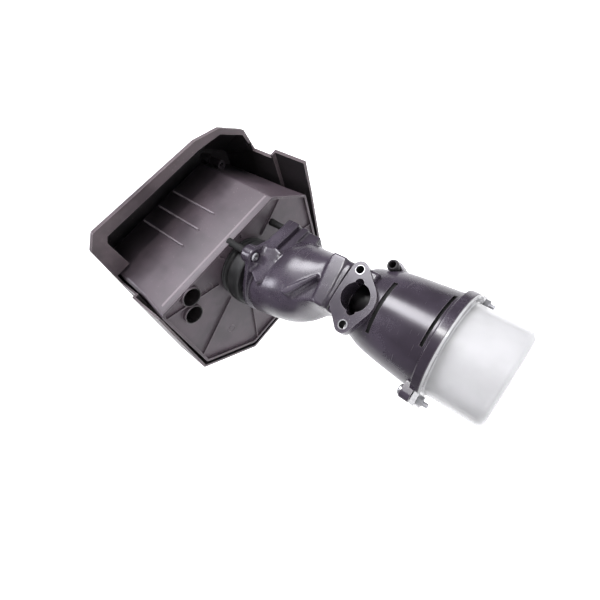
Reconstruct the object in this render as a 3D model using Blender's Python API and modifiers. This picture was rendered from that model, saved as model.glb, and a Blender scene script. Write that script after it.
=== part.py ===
"""Air filter housing of a small single-cylinder engine.

A hood and an intake box sit on a duct elbow; the elbow feeds a round filter canister with a
translucent dust cup below it. The origin is the middle of the cup's base and +Z runs up the
canister's axis. Lengths below are millimetres; the scene is in metres.
"""

from math import cos, pi, radians, sin, tan

import bmesh
import bpy
from mathutils import Matrix, Vector

MM = 0.001
GAP = 0.3
ROUND_STEPS = 32
SMALL_STEPS = 12

# Dust cup and canister, both turned about Z.
CUP_RADIUS = 37.0
CUP_WALL = 2.2
CUP_RIM_LOW = 42.0
CUP_RIM_TOP = 46.0
RIM_RADIUS = 43.5
CANISTER_BASE = CUP_RIM_TOP + GAP
EAR_DISTANCE = 45.5
EAR_RADIUS = 5.2
EAR_TURN = radians(19)
EAR_TOP = 54.0

# Joint between the canister's block and the elbow, and the carburettor flange on its front.
JOINT_Z = 127.0
BLOCK_X = (-23.6, 19.5)
BLOCK_Y = (-34.0, 24.0)
FLANGE_FACE_Y = -38.0
FLANGE_BACK_Y = -30.0
FLANGE_CENTRE = (-5.6, 113.5)
FLANGE_TILT = radians(14.8)
STUD_SPACING = 42.0
SLEEVE_RADIUS = 4.0
SLEEVE_BORE = 3.1
PORT_CENTRE = (-4.4, 110.8)
PORT_RADIUS = 11.2
TUBE_RADIUS = 14.0

# Neck between the elbow and the intake box. The box is turned about the neck's axis.
NECK = Vector((-26.8, -0.5))
BOX_TURN = radians(16)
SPIGOT_RADIUS = 23.5
LUG_FACE_Z = 206.0
LUG_TOP_Z = 216.8
FLOOR_Z = 240.0
RIM_Z = 237.0
BAND_Z = 263.0
BOX_TOP_Z = 338.0
WALL = 2.5
VISOR_Z = 303.0
ROOF_Z = 355.0
JOGGLE_Z = 277.0
SKIRT_FRONT_Y = -36.0

# Plan of the intake box and of the hood, about the neck, in the box's own axes.
BOX_FOOT = [(-86.5, -40), (57, -40), (93, -8), (86, 58), (44, 99), (-42, 98), (-91, 52)]
BOX_BODY = [(-82.5, -43), (56, -43), (91, -9), (84.5, 57), (43, 97.5), (-41, 96.5), (-89, 51)]
BOX_HEAD = [(-79, -43), (55, -43), (89, -10), (83, 55), (42, 95.5), (-40, 94.5), (-87, 50)]
HOOD_PLAN = [(-82, -80), (-70, -91.5), (47, -88.5), (75, -81), (97.5, -62), (101, -34), (98, -4),
             (88, 59.5), (45.3, 102), (-44, 101), (-93.6, 53.2), (-86, -34)]
HOOD_ROOF_PLAN = [(-82, -44), (-71, -54), (46, -51.5), (73, -45), (94, -27), (97.5, -20), (95.5, -4),
                  (85.5, 57.5), (44, 99.5), (-42.5, 98.5), (-91, 51.5), (-84.5, -20)]
SKIRT_PLAN = [(-85.5, SKIRT_FRONT_Y), (101.5, SKIRT_FRONT_Y), (97.5, -4), (87.5, 59),
              (45, 101.5), (-43.5, 100.5), (-93, 53)]
SKIRT_STEP = 4.0
VISOR_OPENING = [(-68, -44), (-68, -76), (-64, -80.5), (46, -79.5), (72.5, -76), (94, -58.5),
                 (97, -44)]
HOOD_SCREWS = [(-72, -37), (68, -36), (77.5, 49), (-80.5, 46)]
DUCT_LUGS = {"front": (0.3, -38.0), "right": (46.5, -14.9), "rear": (-7.3, 37.2)}
RIB_FIRST = radians(-25)
RIB_COUNT = 8
TUBES = [((-57.1, -29.8), 235.4), ((-66.3, -11.6), 236.2)]
TUBE_OUTER = 9.5
TUBE_BORE = 8.2
SCREEN_Z = 268.0
REST_POSTS = [(-70, 10), (-30, 72), (40, 72), (66, 12), (40, -30), (-30, -32)]
FRONT_RIBS = (-27, -6.7, 13.8)

COLLECTION = "air_filter_housing"


def clear_scene():
    for old in list(bpy.data.objects):
        bpy.data.objects.remove(old, do_unlink=True)


def make_collection(name):
    made = bpy.data.collections.new(name)
    bpy.context.scene.collection.children.link(made)
    return made


def finish_material(name, colour, roughness, metallic=0.0, transmission=0.0):
    material = bpy.data.materials.new(name)
    material.use_nodes = True
    shader = material.node_tree.nodes["Principled BSDF"]
    shader.inputs["Base Color"].default_value = (*colour, 1)
    shader.inputs["Roughness"].default_value = roughness
    shader.inputs["Metallic"].default_value = metallic
    shader.inputs["Transmission Weight"].default_value = transmission
    return material


def add_object(name, mesh, smooth=True):
    made = bpy.data.objects.new(name, mesh)
    PARTS.objects.link(made)
    if smooth:
        mesh.shade_smooth()
        mesh.set_sharp_from_angle(angle=radians(35))
    return made


def mesh_from(name, fill):
    """A mesh that fill(bm) builds in millimetres, scaled to metres."""
    bm = bmesh.new()
    fill(bm)
    bmesh.ops.scale(bm, vec=(MM, MM, MM), verts=bm.verts)
    mesh = bpy.data.meshes.new(name)
    bm.to_mesh(mesh)
    bm.free()
    return mesh


def turned(name, profile, centre=(0, 0), ring=False, steps=ROUND_STEPS):
    """A turned solid: the profile's (radius, z) points run down its outer side."""
    mesh = bpy.data.meshes.new(name)
    count = len(profile)
    edges = [(i, i + 1) for i in range(count - 1)]
    if ring:
        edges.append((count - 1, 0))
    mesh.from_pydata([(r * MM, 0, z * MM) for r, z in profile], edges, [])
    made = bpy.data.objects.new(name, mesh)
    PARTS.objects.link(made)
    made.location = (centre[0] * MM, centre[1] * MM, 0)
    screw = made.modifiers.new("Turn", "SCREW")
    screw.steps = screw.render_steps = steps
    screw.use_merge_vertices = True
    screw.merge_threshold = 0.00002
    return made


def bar(name, start, end, radius, steps=SMALL_STEPS):
    """A cylinder from start to end."""
    start, end = Vector(start), Vector(end)
    along = end - start
    place = Matrix.Translation((start + end) / 2) @ along.to_track_quat("Z", "Y").to_matrix().to_4x4()

    def fill(bm):
        bmesh.ops.create_cone(bm, cap_ends=True, segments=steps, radius1=radius, radius2=radius,
                              depth=along.length, matrix=place)

    return add_object(name, mesh_from(name, fill))


def block(name, low, high, round_by=0.0):
    low, high = Vector(low), Vector(high)
    size = high - low

    def fill(bm):
        place = Matrix.Translation((low + high) / 2) @ Matrix.Diagonal((*size, 1))
        bmesh.ops.create_cube(bm, size=1, matrix=place)

    made = add_object(name, mesh_from(name, fill))
    if round_by:
        bevel = made.modifiers.new("Rounded edges", "BEVEL")
        bevel.width = round_by * MM
        bevel.segments = 3
    return made


def plate(name, outline, low, high):
    """A flat outline given its thickness along Z, from a filled curve."""
    curve = bpy.data.curves.new(name, "CURVE")
    curve.dimensions = "2D"
    curve.fill_mode = "BOTH"
    curve.extrude = (high - low) / 2 * MM
    spline = curve.splines.new("POLY")
    spline.points.add(len(outline) - 1)
    for point, (x, y) in zip(spline.points, outline):
        point.co = (x * MM, y * MM, 0, 1)
    spline.use_cyclic_u = True
    drawn = bpy.data.objects.new(name + "_outline", curve)
    PARTS.objects.link(drawn)
    graph = bpy.context.evaluated_depsgraph_get()
    mesh = bpy.data.meshes.new_from_object(drawn.evaluated_get(graph))
    bpy.data.objects.remove(drawn)
    bm = bmesh.new()
    bm.from_mesh(mesh)
    bmesh.ops.remove_doubles(bm, verts=bm.verts, dist=0.01 * MM)
    bmesh.ops.recalc_face_normals(bm, faces=bm.faces)
    bmesh.ops.translate(bm, verts=bm.verts, vec=(0, 0, (low + high) / 2 * MM))
    bm.to_mesh(mesh)
    bm.free()
    return add_object(name, mesh)


def loft(name, rings, closed=False):
    """A skin through rings of equal point counts: capped, or joined end to end as a duct."""

    def fill(bm):
        rows = [[bm.verts.new(point) for point in ring] for ring in rings]
        count = len(rows[0])
        pairs = list(zip(rows, rows[1:]))
        if closed:
            pairs.append((rows[-1], rows[0]))
        for lower, upper in pairs:
            for i in range(count):
                j = (i + 1) % count
                bm.faces.new((lower[i], lower[j], upper[j], upper[i]))
        if not closed:
            bm.faces.new(reversed(rows[0]))
            bm.faces.new(rows[-1])
        bmesh.ops.triangulate(bm, faces=[f for f in bm.faces if len(f.verts) == 4])

    return add_object(name, mesh_from(name, fill))


def combine(target, other, operation, collection):
    """Adds a Boolean of the other object to the target and hides the other as its tool."""
    boolean = target.modifiers.new(other.name, "BOOLEAN")
    boolean.operation = operation
    boolean.object = other
    PARTS.objects.unlink(other)
    collection.objects.link(other)
    other.hide_render = True
    other.display_type = "WIRE"


def cut(target, *others):
    for other in others:
        combine(target, other, "DIFFERENCE", CUTTERS)


def fuse(target, *others):
    for other in others:
        combine(target, other, "UNION", CUTTERS)


def dress(target, material):
    target.data.materials.clear()
    target.data.materials.append(material)
    return target


def hull(circles, steps=SMALL_STEPS):
    """The outline of a band stretched round circles (x, y, radius), counter-clockwise."""
    points = sorted((x + r * cos(2 * pi * i / steps), y + r * sin(2 * pi * i / steps))
                    for x, y, r in circles for i in range(steps))

    def half(sequence):
        chain = []
        for p in sequence:
            while len(chain) > 1 and turn(chain[-2], chain[-1], p) <= 1e-9:
                chain.pop()
            chain.append(p)
        return chain[:-1]

    return half(points) + half(reversed(points))


def turn(a, b, c):
    return (b[0] - a[0]) * (c[1] - a[1]) - (b[1] - a[1]) * (c[0] - a[0])


def inset(outline, distance):
    """The counter-clockwise outline moved inwards by a distance along each side's normal."""
    moved = []
    count = len(outline)
    for i in range(count):
        before, here, after = (Vector(outline[(i + k) % count]) for k in (-1, 0, 1))
        arriving = (here - before).normalized()
        leaving = (after - here).normalized()
        inward = Vector((-arriving.y, arriving.x)), Vector((-leaving.y, leaving.x))
        middle = (inward[0] + inward[1]).normalized()
        moved.append(here + middle * (distance / middle.dot(inward[0])))
    return [tuple(p) for p in moved]


def rounded(outline, radius, steps=3):
    """The convex outline with each corner replaced by an arc of steps + 1 points."""
    made = []
    count = len(outline)
    for i in range(count):
        before, here, after = (Vector(outline[(i + k) % count]) for k in (-1, 0, 1))
        back, forth = (before - here).normalized(), (after - here).normalized()
        half = back.angle(forth) / 2
        middle = (back + forth).normalized()
        centre = here + middle * (radius / sin(half))
        reach = radius / tan(half)
        first, last = here + back * reach - centre, here + forth * reach - centre
        for k in range(steps + 1):
            made.append(tuple(centre + first.slerp(last, k / steps) * radius))
    return made


def in_box_axes(outline, z=None):
    """Plan points about the neck, turned into the scene's axes, with z added when given."""
    c, s = cos(BOX_TURN), sin(BOX_TURN)
    placed = [(NECK.x + x * c - y * s, NECK.y + x * s + y * c) for x, y in outline]
    return placed if z is None else [(x, y, z) for x, y in placed]


def ellipse_ring(z, centre, half, power, count=ROUND_STEPS):
    """A level ring between an ellipse (power 2) and a rounded rectangle (power 5 or more)."""
    ring = []
    for i in range(count):
        angle = 2 * pi * i / count
        c, s = cos(angle), sin(angle)
        reach = (abs(c) ** power + abs(s) ** power) ** (-1 / power)
        ring.append((centre[0] + half[0] * c * reach, centre[1] + half[1] * s * reach, z))
    return ring


def ear_centres():
    way = Vector((cos(EAR_TURN), sin(EAR_TURN)))
    return [way * EAR_DISTANCE, -way * EAR_DISTANCE]


def ear_outline(centre):
    inner = centre * 0.86
    return hull([(centre.x, centre.y, EAR_RADIUS), (inner.x, inner.y, EAR_RADIUS + 1.5)])


def stud_centres():
    half = STUD_SPACING / 2
    x, z = FLANGE_CENTRE
    c, s = cos(FLANGE_TILT) * half, sin(FLANGE_TILT) * half
    return [(x + c, z + s), (x - c, z - s)]


def lug_places():
    return {name: in_box_axes([place])[0] for name, place in DUCT_LUGS.items()}


def make_dust_cup(material):
    r, wall = CUP_RADIUS, CUP_WALL
    corner = 6.0
    outer = [(r - corner + corner * sin(a), corner - corner * cos(a))
             for a in (radians(90 - 30 * k) for k in range(4))]
    profile = [(RIM_RADIUS, CUP_RIM_TOP), (RIM_RADIUS, CUP_RIM_LOW), (r + 1.2, CUP_RIM_LOW),
               (r + 0.6, CUP_RIM_LOW - 3), *outer, (0, 0)]
    inner = [(0, wall), (r - corner, wall), (r - wall - 1.2, wall + 1.4), (r - wall, wall + 4.5),
             (r - wall + 0.6, CUP_RIM_TOP)]
    cup = turned("dust_cup", [*inner, *profile])
    for i, centre in enumerate(ear_centres(), 1):
        fuse(cup, plate(f"cup_ear_{i}", ear_outline(centre), CUP_RIM_LOW, CUP_RIM_TOP - 0.4))
        cut(cup, bar(f"cup_ear_hole_{i}", (*centre, 35), (*centre, 50), 2.4))
    return dress(cup, material)


def make_bowl_seal(material):
    low = CANISTER_BASE
    return dress(turned("bowl_seal", [(40.2, low + 3), (40.2, low), (38.0, low), (38.0, low + 3)],
                        ring=True), material)


def make_canister_body(material):
    body = turned("canister_body", [
        (0, 124), (20, 124), (25.5, 122), (28.5, 118), (31, 111), (33.6, 103.5), (35.3, 95),
        (37.3, 79), (39.2, 59), (40, 52), (40.2, 50.6), (RIM_RADIUS, 50.3),
        (RIM_RADIUS, CANISTER_BASE), (0, CANISTER_BASE)])
    top = JOINT_Z - 0.4
    fuse(body, block("joint_block", (BLOCK_X[0], BLOCK_Y[0], 106), (BLOCK_X[1], BLOCK_Y[1], top), 2.5))
    fuse(body, carburettor_flange(top - 0.5))
    for i, centre in enumerate(ear_centres(), 1):
        fuse(body, plate(f"body_ear_{i}", ear_outline(centre), CANISTER_BASE + 0.2, EAR_TOP))
    start, end = nipple_line()
    fuse(body, bar("nipple_boss", start - (end - start) * 0.4, start.lerp(end, 0.45), 6.2, 16))
    cavity = turned("canister_cavity", [
        (0, 122.4), (17.4, 122.4), (22, 120), (25.5, 116.5), (28.4, 110), (31, 102.5),
        (32.7, 94.5), (34.7, 79), (35.6, 60), (35.6, 40), (0, 40)])
    cut(body, cavity)
    px, pz = PORT_CENTRE
    cut(body, bar("port_bore", (px, -60, pz), (px, -19, pz), PORT_RADIUS, 28))
    for side in (1, -1):
        x = px + side * 12.2 * cos(FLANGE_TILT)
        z = pz + side * 12.2 * sin(FLANGE_TILT)
        cut(body, bar(f"port_lobe_{side + 2}", (x, -60, z), (x, -24, z), 3.0, 16))
    for i, (x, z) in enumerate(stud_centres(), 1):
        cut(body, bar(f"sleeve_seat_{i}", (x, -60, z), (x, FLANGE_BACK_Y + 4, z), SLEEVE_RADIUS + GAP))
    cut(body, bar("tube_hole", (0, 0, 119), (0, 0, 140), TUBE_RADIUS + GAP, 40))
    cut(body, bar("tube_seat", (0, 0, JOINT_Z - 3.2), (0, 0, 140), 17.8, 40))
    for i, (x, y) in enumerate(elbow_screw_places(), 1):
        fuse(body, bar(f"screw_boss_{i}", (x, y, 108), (x, y, top), 5.5))
        cut(body, bar(f"screw_pilot_{i}", (x, y, 112), (x, y, 140), 2.2, 16))
    groove = turned("seal_groove", [(40.5, 49.6), (40.5, 40), (37.7, 40), (37.7, 49.6)], ring=True)
    cut(body, groove)
    cut(body, bar("nipple_seat", start - (end - start) * 0.02, end, 4.3))
    cut(body, bar("nipple_bead_room", start.lerp(end, 0.7), start.lerp(end, 1.3), 5.1))
    for i, centre in enumerate(ear_centres(), 1):
        cut(body, bar(f"body_ear_hole_{i}", (*centre, 40), (*centre, 60), 2.4))
    return dress(body, material)


def carburettor_flange(top):
    """The diamond flange, drawn flat in its own plane and then stood up facing -Y."""
    (ax, az), (bx, bz) = stud_centres()
    cx, cz = FLANGE_CENTRE
    outline = hull([(ax, az, 6.4), (bx, bz, 6.4), (cx, cz - 0.8, 17.8)], 28)
    clipped = [(x, min(z, top)) for x, z in outline]
    kept = [p for i, p in enumerate(clipped) if p != clipped[i - 1]]
    made = plate("flange_plate", kept, 0, FLANGE_BACK_Y - FLANGE_FACE_Y)
    stand = Matrix.Translation((0, FLANGE_BACK_Y * MM, 0)) @ Matrix.Rotation(radians(90), 4, "X")
    made.data.transform(stand)
    return made


def elbow_screw_places():
    return [(-19.5, 27.5), (15.5, 27.5)]


def nipple_line():
    """Where the breather nipple starts in its boss and where its mouth is."""
    return Vector((32.0, -1.0, 105.5)), Vector((32.0, -20.5, 106.5))


def make_breather_nipple(material):
    start, end = nipple_line()
    nipple = bar("breather_nipple", start, end, 4.0, 16)
    way = (end - start).normalized()
    fuse(nipple, bar("nipple_bead", end - way * 3.5, end - way * 1.2, 4.7, 16))
    cut(nipple, bar("nipple_bore", start - way * 2, end + way * 2, 2.7))
    return dress(nipple, material)


def make_flange_sleeve(name, place, material):
    x, z = place
    sleeve = bar(name, (x, FLANGE_FACE_Y + 0.2, z), (x, FLANGE_BACK_Y + 3.5, z), SLEEVE_RADIUS, 28)
    cut(sleeve, bar(name + "_bore", (x, -60, z), (x, 0, z), SLEEVE_BORE))
    return dress(sleeve, material)


def make_inner_tube(material):
    top, r = JOINT_Z - 0.6, TUBE_RADIUS
    return dress(turned("inner_tube", [
        (17.5, top), (17.5, top - 2.3), (r, top - 2.3), (r, 58), (r - 1.6, 58), (r - 1.6, top)],
        ring=True, steps=28), material)


def make_element_ring(name, low, high, outer, material, inner=TUBE_RADIUS + GAP):
    return dress(turned(name, [(outer, high), (outer, low), (inner, low), (inner, high)],
                        ring=True, steps=28), material)


def make_joint_gasket(material):
    low, high = JOINT_Z - 0.1, JOINT_Z + 0.9
    outline = rounded([(BLOCK_X[0] + 0.5, BLOCK_Y[0] + 0.5), (BLOCK_X[1] - 0.5, BLOCK_Y[0] + 0.5),
                       (BLOCK_X[1] - 0.5, BLOCK_Y[1] - 0.3), (BLOCK_X[0] + 0.5, BLOCK_Y[1] - 0.3)], 4)
    gasket = plate("joint_gasket", outline, low, high)
    cut(gasket, bar("gasket_hole", (0, 0, low - 2), (0, 0, high + 2), 15.5, 40))
    return dress(gasket, material)


def make_elbow_duct(material):
    base = JOINT_Z + 1.2
    cx, cy = (BLOCK_X[0] + BLOCK_X[1]) / 2, (BLOCK_Y[0] + BLOCK_Y[1]) / 2
    hx, hy = (BLOCK_X[1] - BLOCK_X[0]) / 2, (BLOCK_Y[1] - BLOCK_Y[0]) / 2
    neck = tuple(NECK)
    stations = [(base, (cx, cy), (hx, hy), 7), (141, (cx, cy), (hx, hy), 7),
                (146, (cx - 2, cy + 1), (hx + 2.2, hy), 4.5), (155, (-9, -3.5), (30, 30), 3),
                (167, (-13, -2.5), (34, 32), 2.5), (180, (-14.8, -2), (36, 32.5), 2.3),
                (193, (-18.5, -1), (35, 31), 2.2), (202, (-23.5, -0.5), (31, 28.5), 2.1),
                (208, neck, (25, 25), 2), (209.5, neck, (SPIGOT_RADIUS,) * 2, 2),
                (FLOOR_Z - 1, neck, (SPIGOT_RADIUS,) * 2, 2)]
    wall = 2.6
    outer = [ellipse_ring(*station) for station in stations]
    inner = [ellipse_ring(z, centre, (half[0] - wall, half[1] - wall), power)
             for z, centre, half, power in reversed(stations)]
    elbow = loft("elbow_duct", outer + inner, closed=True)
    for i, (x, y) in enumerate(elbow_screw_places(), 1):
        fuse(elbow, bar(f"elbow_lug_{i}", (x, y - 1, base + 0.2), (x, y - 1, base + 7), 5.6))
        cut(elbow, bar(f"elbow_lug_hole_{i}", (x, y, 120), (x, y, base + 9), 2.5, 16))
        cut(elbow, bar(f"elbow_head_room_{i}", (x, y, base + 7), (x, y, base + 30), 5.6))
    lugs = lug_places()
    skirt = plate("lug_plate", hull([(*neck, 29.5), *((x, y, 7.5) for x, y in lugs.values())], 28),
                  LUG_FACE_Z + 1.5, LUG_FACE_Z + 5)
    cut(skirt, bar("lug_plate_bore", (*neck, 190), (*neck, 230), SPIGOT_RADIUS - 1.2, 40))
    fuse(elbow, skirt)
    fuse(elbow, block("wing_bar", (-4, -27.5, 197.5), (27, -17.5, 212.3), 1.2))
    cut(elbow, bar("wing_bar_relief", (*neck, 196), (*neck, 214), SPIGOT_RADIUS - 2.2, 40))
    for name, (x, y) in lugs.items():
        fuse(elbow, bar(f"lug_{name}", (x, y, LUG_FACE_Z), (x, y, LUG_TOP_Z), 8.2, 24))
        cut(elbow, bar(f"lug_seat_{name}", (x, y, 180), (x, y, LUG_FACE_Z + 2.6), 6.3))
        cut(elbow, bar(f"lug_hole_{name}", (x, y, 180), (x, y, 230), 2.8, 16))
    return dress(elbow, material)


def make_screw(name, place, head_z, tip_z, head_radius, shank_radius, material):
    """A pan-head screw along Z: its head is at head_z and its tip at tip_z."""
    x, y = place
    up = 1 if head_z > tip_z else -1
    head = 2.4
    outline = [(0, head_z + up * head), (head_radius * 0.7, head_z + up * head),
               (head_radius, head_z + up * head * 0.45), (head_radius, head_z),
               (shank_radius, head_z), (shank_radius, tip_z), (0, tip_z)]
    screw = turned(name, outline if up > 0 else outline[::-1], (x, y), steps=SMALL_STEPS)
    return dress(screw, material)


def make_hex_nut(name, place, low, high, radius, bore, material):
    x, y = place
    nut = bar(name, (x, y, low), (x, y, high), radius, 6)
    cut(nut, bar(name + "_bore", (x, y, low - 2), (x, y, high + 2), bore, 16))
    return dress(nut, material)


def make_neck_collar(material):
    return dress(turned("neck_collar", [
        (27.2, FLOOR_Z + 3), (27.2, FLOOR_Z - GAP), (30.6, FLOOR_Z - GAP), (31, FLOOR_Z - 4),
        (30.4, 227), (31, 222), (30.6, 218.3), (29.4, 217.3), (23.8, 217.3), (23.8, FLOOR_Z + 3)],
        tuple(NECK), ring=True), material)


def reach_of(outline, angle):
    """How far the outline is from the origin in the direction of an angle."""
    way = Vector((cos(angle), sin(angle)))
    for i in range(len(outline)):
        a, b = Vector(outline[i - 1]), Vector(outline[i])
        side = b - a
        across = way.x * side.y - way.y * side.x
        if abs(across) < 1e-9:
            continue
        far = (a.x * side.y - a.y * side.x) / across
        share = (a.x * way.y - a.y * way.x) / across
        if far > 0 and 0 <= share <= 1:
            return far
    return 0.0


def box_rings():
    """The box's skin from under its floor, down over the rim, up outside and down inside."""
    rim, foot = rounded(inset(BOX_FOOT, WALL), 2.5), rounded(BOX_FOOT, 4)
    body, within = rounded(BOX_BODY, 4), rounded(inset(BOX_BODY, WALL), 2.5)
    head, mouth = rounded(BOX_HEAD, 4), rounded(inset(BOX_HEAD, WALL), 2.5)
    levels = [(rim, FLOOR_Z), (rim, RIM_Z), (foot, RIM_Z), (foot, RIM_Z + 3), (body, BAND_Z),
              (head, BOX_TOP_Z), (mouth, BOX_TOP_Z), (within, BAND_Z), (within, FLOOR_Z + 3)]
    return [in_box_axes(outline, z) for outline, z in levels]


def make_air_box(material):
    box = loft("air_box", box_rings())
    neck = tuple(NECK)
    for k in range(RIB_COUNT):
        angle = RIB_FIRST + 2 * pi * k / RIB_COUNT
        fuse(box, rib(f"floor_rib_{k}", angle, 33.0, reach_of(BOX_FOOT, angle) - WALL + 0.4))
    for i, (place, mouth) in enumerate(TUBES, 1):
        x, y = in_box_axes([place])[0]
        fuse(box, bar(f"tube_wall_{i}", (x, y, mouth), (x, y, FLOOR_Z + 16), TUBE_OUTER, 28))
        cut(box, bar(f"tube_bore_{i}", (x, y, mouth - 4), (x, y, FLOOR_Z + 20), TUBE_BORE, 28))
    for name, (x, y) in lug_places().items():
        fuse(box, bar(f"post_{name}", (x, y, LUG_TOP_Z + 0.4), (x, y, FLOOR_Z + 2), 5.2))
        cut(box, bar(f"post_pilot_{name}", (x, y, 210), (x, y, FLOOR_Z - 3), 2.5, 16))
    cut(box, bar("neck_hole", (*neck, 225), (*neck, 250), 27.5, ROUND_STEPS))
    for i, (x, y) in enumerate(in_box_axes(HOOD_SCREWS), 1):
        fuse(box, bar(f"corner_boss_{i}", (x, y, BOX_TOP_Z - 22), (x, y, BOX_TOP_Z - 0.5), 5.5))
        cut(box, bar(f"corner_pilot_{i}", (x, y, BOX_TOP_Z - 18), (x, y, BOX_TOP_Z + 9), 2.2, 16))
    for x in FRONT_RIBS:
        low, high = (x - 0.6, BOX_BODY[0][1] - 1.2), (x + 0.6, BOX_BODY[0][1] + 1)
        outline = [(low[0], low[1]), (high[0], low[1]), (high[0], high[1]), (low[0], high[1])]
        fuse(box, plate(f"front_rib_{x:.0f}", in_box_axes(outline), 272, 334))
    for i, (x, y) in enumerate(in_box_axes(REST_POSTS), 1):
        fuse(box, bar(f"rest_post_{i}", (x, y, FLOOR_Z + 2), (x, y, SCREEN_Z - GAP), 4.0, 16))
    return dress(box, material)


def rib(name, angle, start, end):
    way = Vector((cos(angle), sin(angle)))
    side = Vector((-way.y, way.x)) * 0.8
    corners = [way * start - side, way * end - side, way * end + side, way * start + side]
    return plate(name, in_box_axes([tuple(c) for c in corners]), RIM_Z + 0.8, FLOOR_Z + 1)


def make_prefilter(screen_material, foam_material):
    low = SCREEN_Z
    outline = in_box_axes(rounded(inset(BOX_HEAD, WALL + 0.4), 3))
    screen = plate("prefilter_screen", outline, low, low + 2)
    spacing, bore = 30.0, 11.0
    for row in range(-1, 4):
        for column in range(-2, 3):
            x, y = in_box_axes([(column * spacing, row * spacing - 5)])[0]
            if inside(BOX_HEAD, (column * spacing, row * spacing - 5), 17):
                cut(screen, bar(f"screen_hole_{row}_{column}", (x, y, low - 3), (x, y, low + 5),
                                bore, 8))
    foam = plate("prefilter_foam", outline, low + 2.3, low + 32)
    dress(foam, foam_material)
    return dress(screen, screen_material)


def inside(outline, point, margin):
    px, py = point
    shrunk = inset(outline, margin)
    return all(turn(shrunk[i - 1], shrunk[i], (px, py)) > 0 for i in range(len(shrunk)))


def make_hood(material):
    roof = rounded(HOOD_ROOF_PLAN, 3, 2)
    visor = rounded(HOOD_PLAN, 3, 2)
    hood = loft("hood", [in_box_axes(visor, VISOR_Z), in_box_axes(visor, VISOR_Z + 4),
                         in_box_axes(roof, ROOF_Z - 3),
                         in_box_axes(rounded(inset(HOOD_ROOF_PLAN, 3), 2, 2), ROOF_Z)])
    fuse(hood, plate("skirt", in_box_axes(SKIRT_PLAN), JOGGLE_Z - 1, VISOR_Z + 10))
    fuse(hood, plate("low_skirt", in_box_axes(inset(SKIRT_PLAN, -SKIRT_STEP)), RIM_Z, JOGGLE_Z))
    hollow = rounded(inset(HOOD_PLAN, WALL), 2, 2)
    under_roof = rounded(inset(HOOD_ROOF_PLAN, WALL + 0.5), 2, 2)
    cut(hood, loft("hood_hollow", [in_box_axes(hollow, VISOR_Z + 2.5),
                                   in_box_axes(hollow, VISOR_Z + 4.5),
                                   in_box_axes(under_roof, ROOF_Z - WALL - 0.4)]))
    cut(hood, plate("skirt_hollow", in_box_axes(skirt_inside(0.0)), JOGGLE_Z - 6, VISOR_Z + 6))
    cut(hood, plate("low_skirt_hollow", in_box_axes(skirt_inside(SKIRT_STEP)), RIM_Z - 5,
                    JOGGLE_Z - 2.5))
    cut(hood, plate("visor_opening", in_box_axes(VISOR_OPENING), VISOR_Z - 5, VISOR_Z + 4))
    for i, (x, y) in enumerate(in_box_axes(HOOD_SCREWS), 1):
        fuse(hood, bar(f"hood_post_{i}", (x, y, BOX_TOP_Z + 0.2), (x, y, ROOF_Z - 1.5), 5.0))
        cut(hood, bar(f"hood_post_bore_{i}", (x, y, 330), (x, y, ROOF_Z + 5), 2.4, 16))
        cut(hood, bar(f"hood_head_seat_{i}", (x, y, ROOF_Z - 2.6), (x, y, ROOF_Z + 5), 4.8))
    return dress(hood, material)


def skirt_inside(grow):
    """The space inside the skirt, open at its front."""
    plan = inset(SKIRT_PLAN, WALL - grow)
    return [(x, SKIRT_FRONT_Y - 10) if y < SKIRT_FRONT_Y + 4 else (x, y) for x, y in plan]


def main():
    brown = finish_material("dark_brown_grey_plastic", (0.06, 0.05, 0.055), 0.42)
    black = finish_material("black_plastic", (0.02, 0.02, 0.022), 0.5)
    flange = finish_material("grey_brown_plastic", (0.11, 0.1, 0.105), 0.5)
    rubber = finish_material("black_rubber", (0.015, 0.015, 0.016), 0.8)
    cup = finish_material("translucent_white_plastic", (0.85, 0.86, 0.88), 0.35, 0, 0.7)
    zinc = finish_material("zinc_plated_steel", (0.62, 0.62, 0.63), 0.3, 1)
    foam = finish_material("grey_foam", (0.08, 0.08, 0.085), 0.95)
    gasket = finish_material("gasket_sheet", (0.05, 0.05, 0.05), 0.9)
    felt = finish_material("filter_fleece", (0.55, 0.5, 0.38), 0.95)

    make_dust_cup(cup)
    make_bowl_seal(rubber)
    make_canister_body(flange)
    make_breather_nipple(black)
    for name, place in zip(("flange_sleeve_right", "flange_sleeve_left"), stud_centres()):
        make_flange_sleeve(name, place, zinc)
    make_inner_tube(black)
    make_element_ring("element_support_lower", 60.5, 62.5, 33, zinc)
    make_element_ring("filter_element", 62.9, 93.0, 32, felt)
    make_element_ring("element_support_upper", 93.4, 95.0, 31, zinc)
    make_element_ring("element_clip", 58.6, 60.1, 19, zinc, TUBE_RADIUS + 0.2)
    for i, centre in enumerate(ear_centres(), 1):
        make_screw(f"cup_bolt_{i}", centre, EAR_TOP + 0.2, 34, 4.2, 2.0, zinc)
        make_hex_nut(f"cup_nut_{i}", centre, CUP_RIM_LOW - 3.8, CUP_RIM_LOW - 0.3, 4.3, 2.3, zinc)
    make_joint_gasket(gasket)
    make_elbow_duct(brown)
    for i, place in enumerate(elbow_screw_places(), 1):
        make_screw(f"elbow_screw_{i}", place, JOINT_Z + 8.5, 114, 4.4, 1.9, zinc)
    for name, place in lug_places().items():
        make_screw(f"duct_screw_{name}", place, LUG_FACE_Z + 2.3, 232, 5.6, 2.2, zinc)
    make_neck_collar(rubber)
    make_air_box(brown)
    make_prefilter(black, foam)
    make_hood(brown)
    for i, place in enumerate(in_box_axes(HOOD_SCREWS), 1):
        make_screw(f"hood_screw_{i}", place, ROOF_Z - 2.3, 326, 4.2, 1.9, zinc)


clear_scene()
PARTS = make_collection(COLLECTION)
CUTTERS = make_collection("cutters")
main()
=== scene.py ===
"""Looks of an air filter housing for a small engine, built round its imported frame.

Sizes in each section are millimetres; meshes are turned into metres as they are made.
"""

from math import atan2, cos, degrees, hypot, pi, radians, sin, tan

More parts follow.
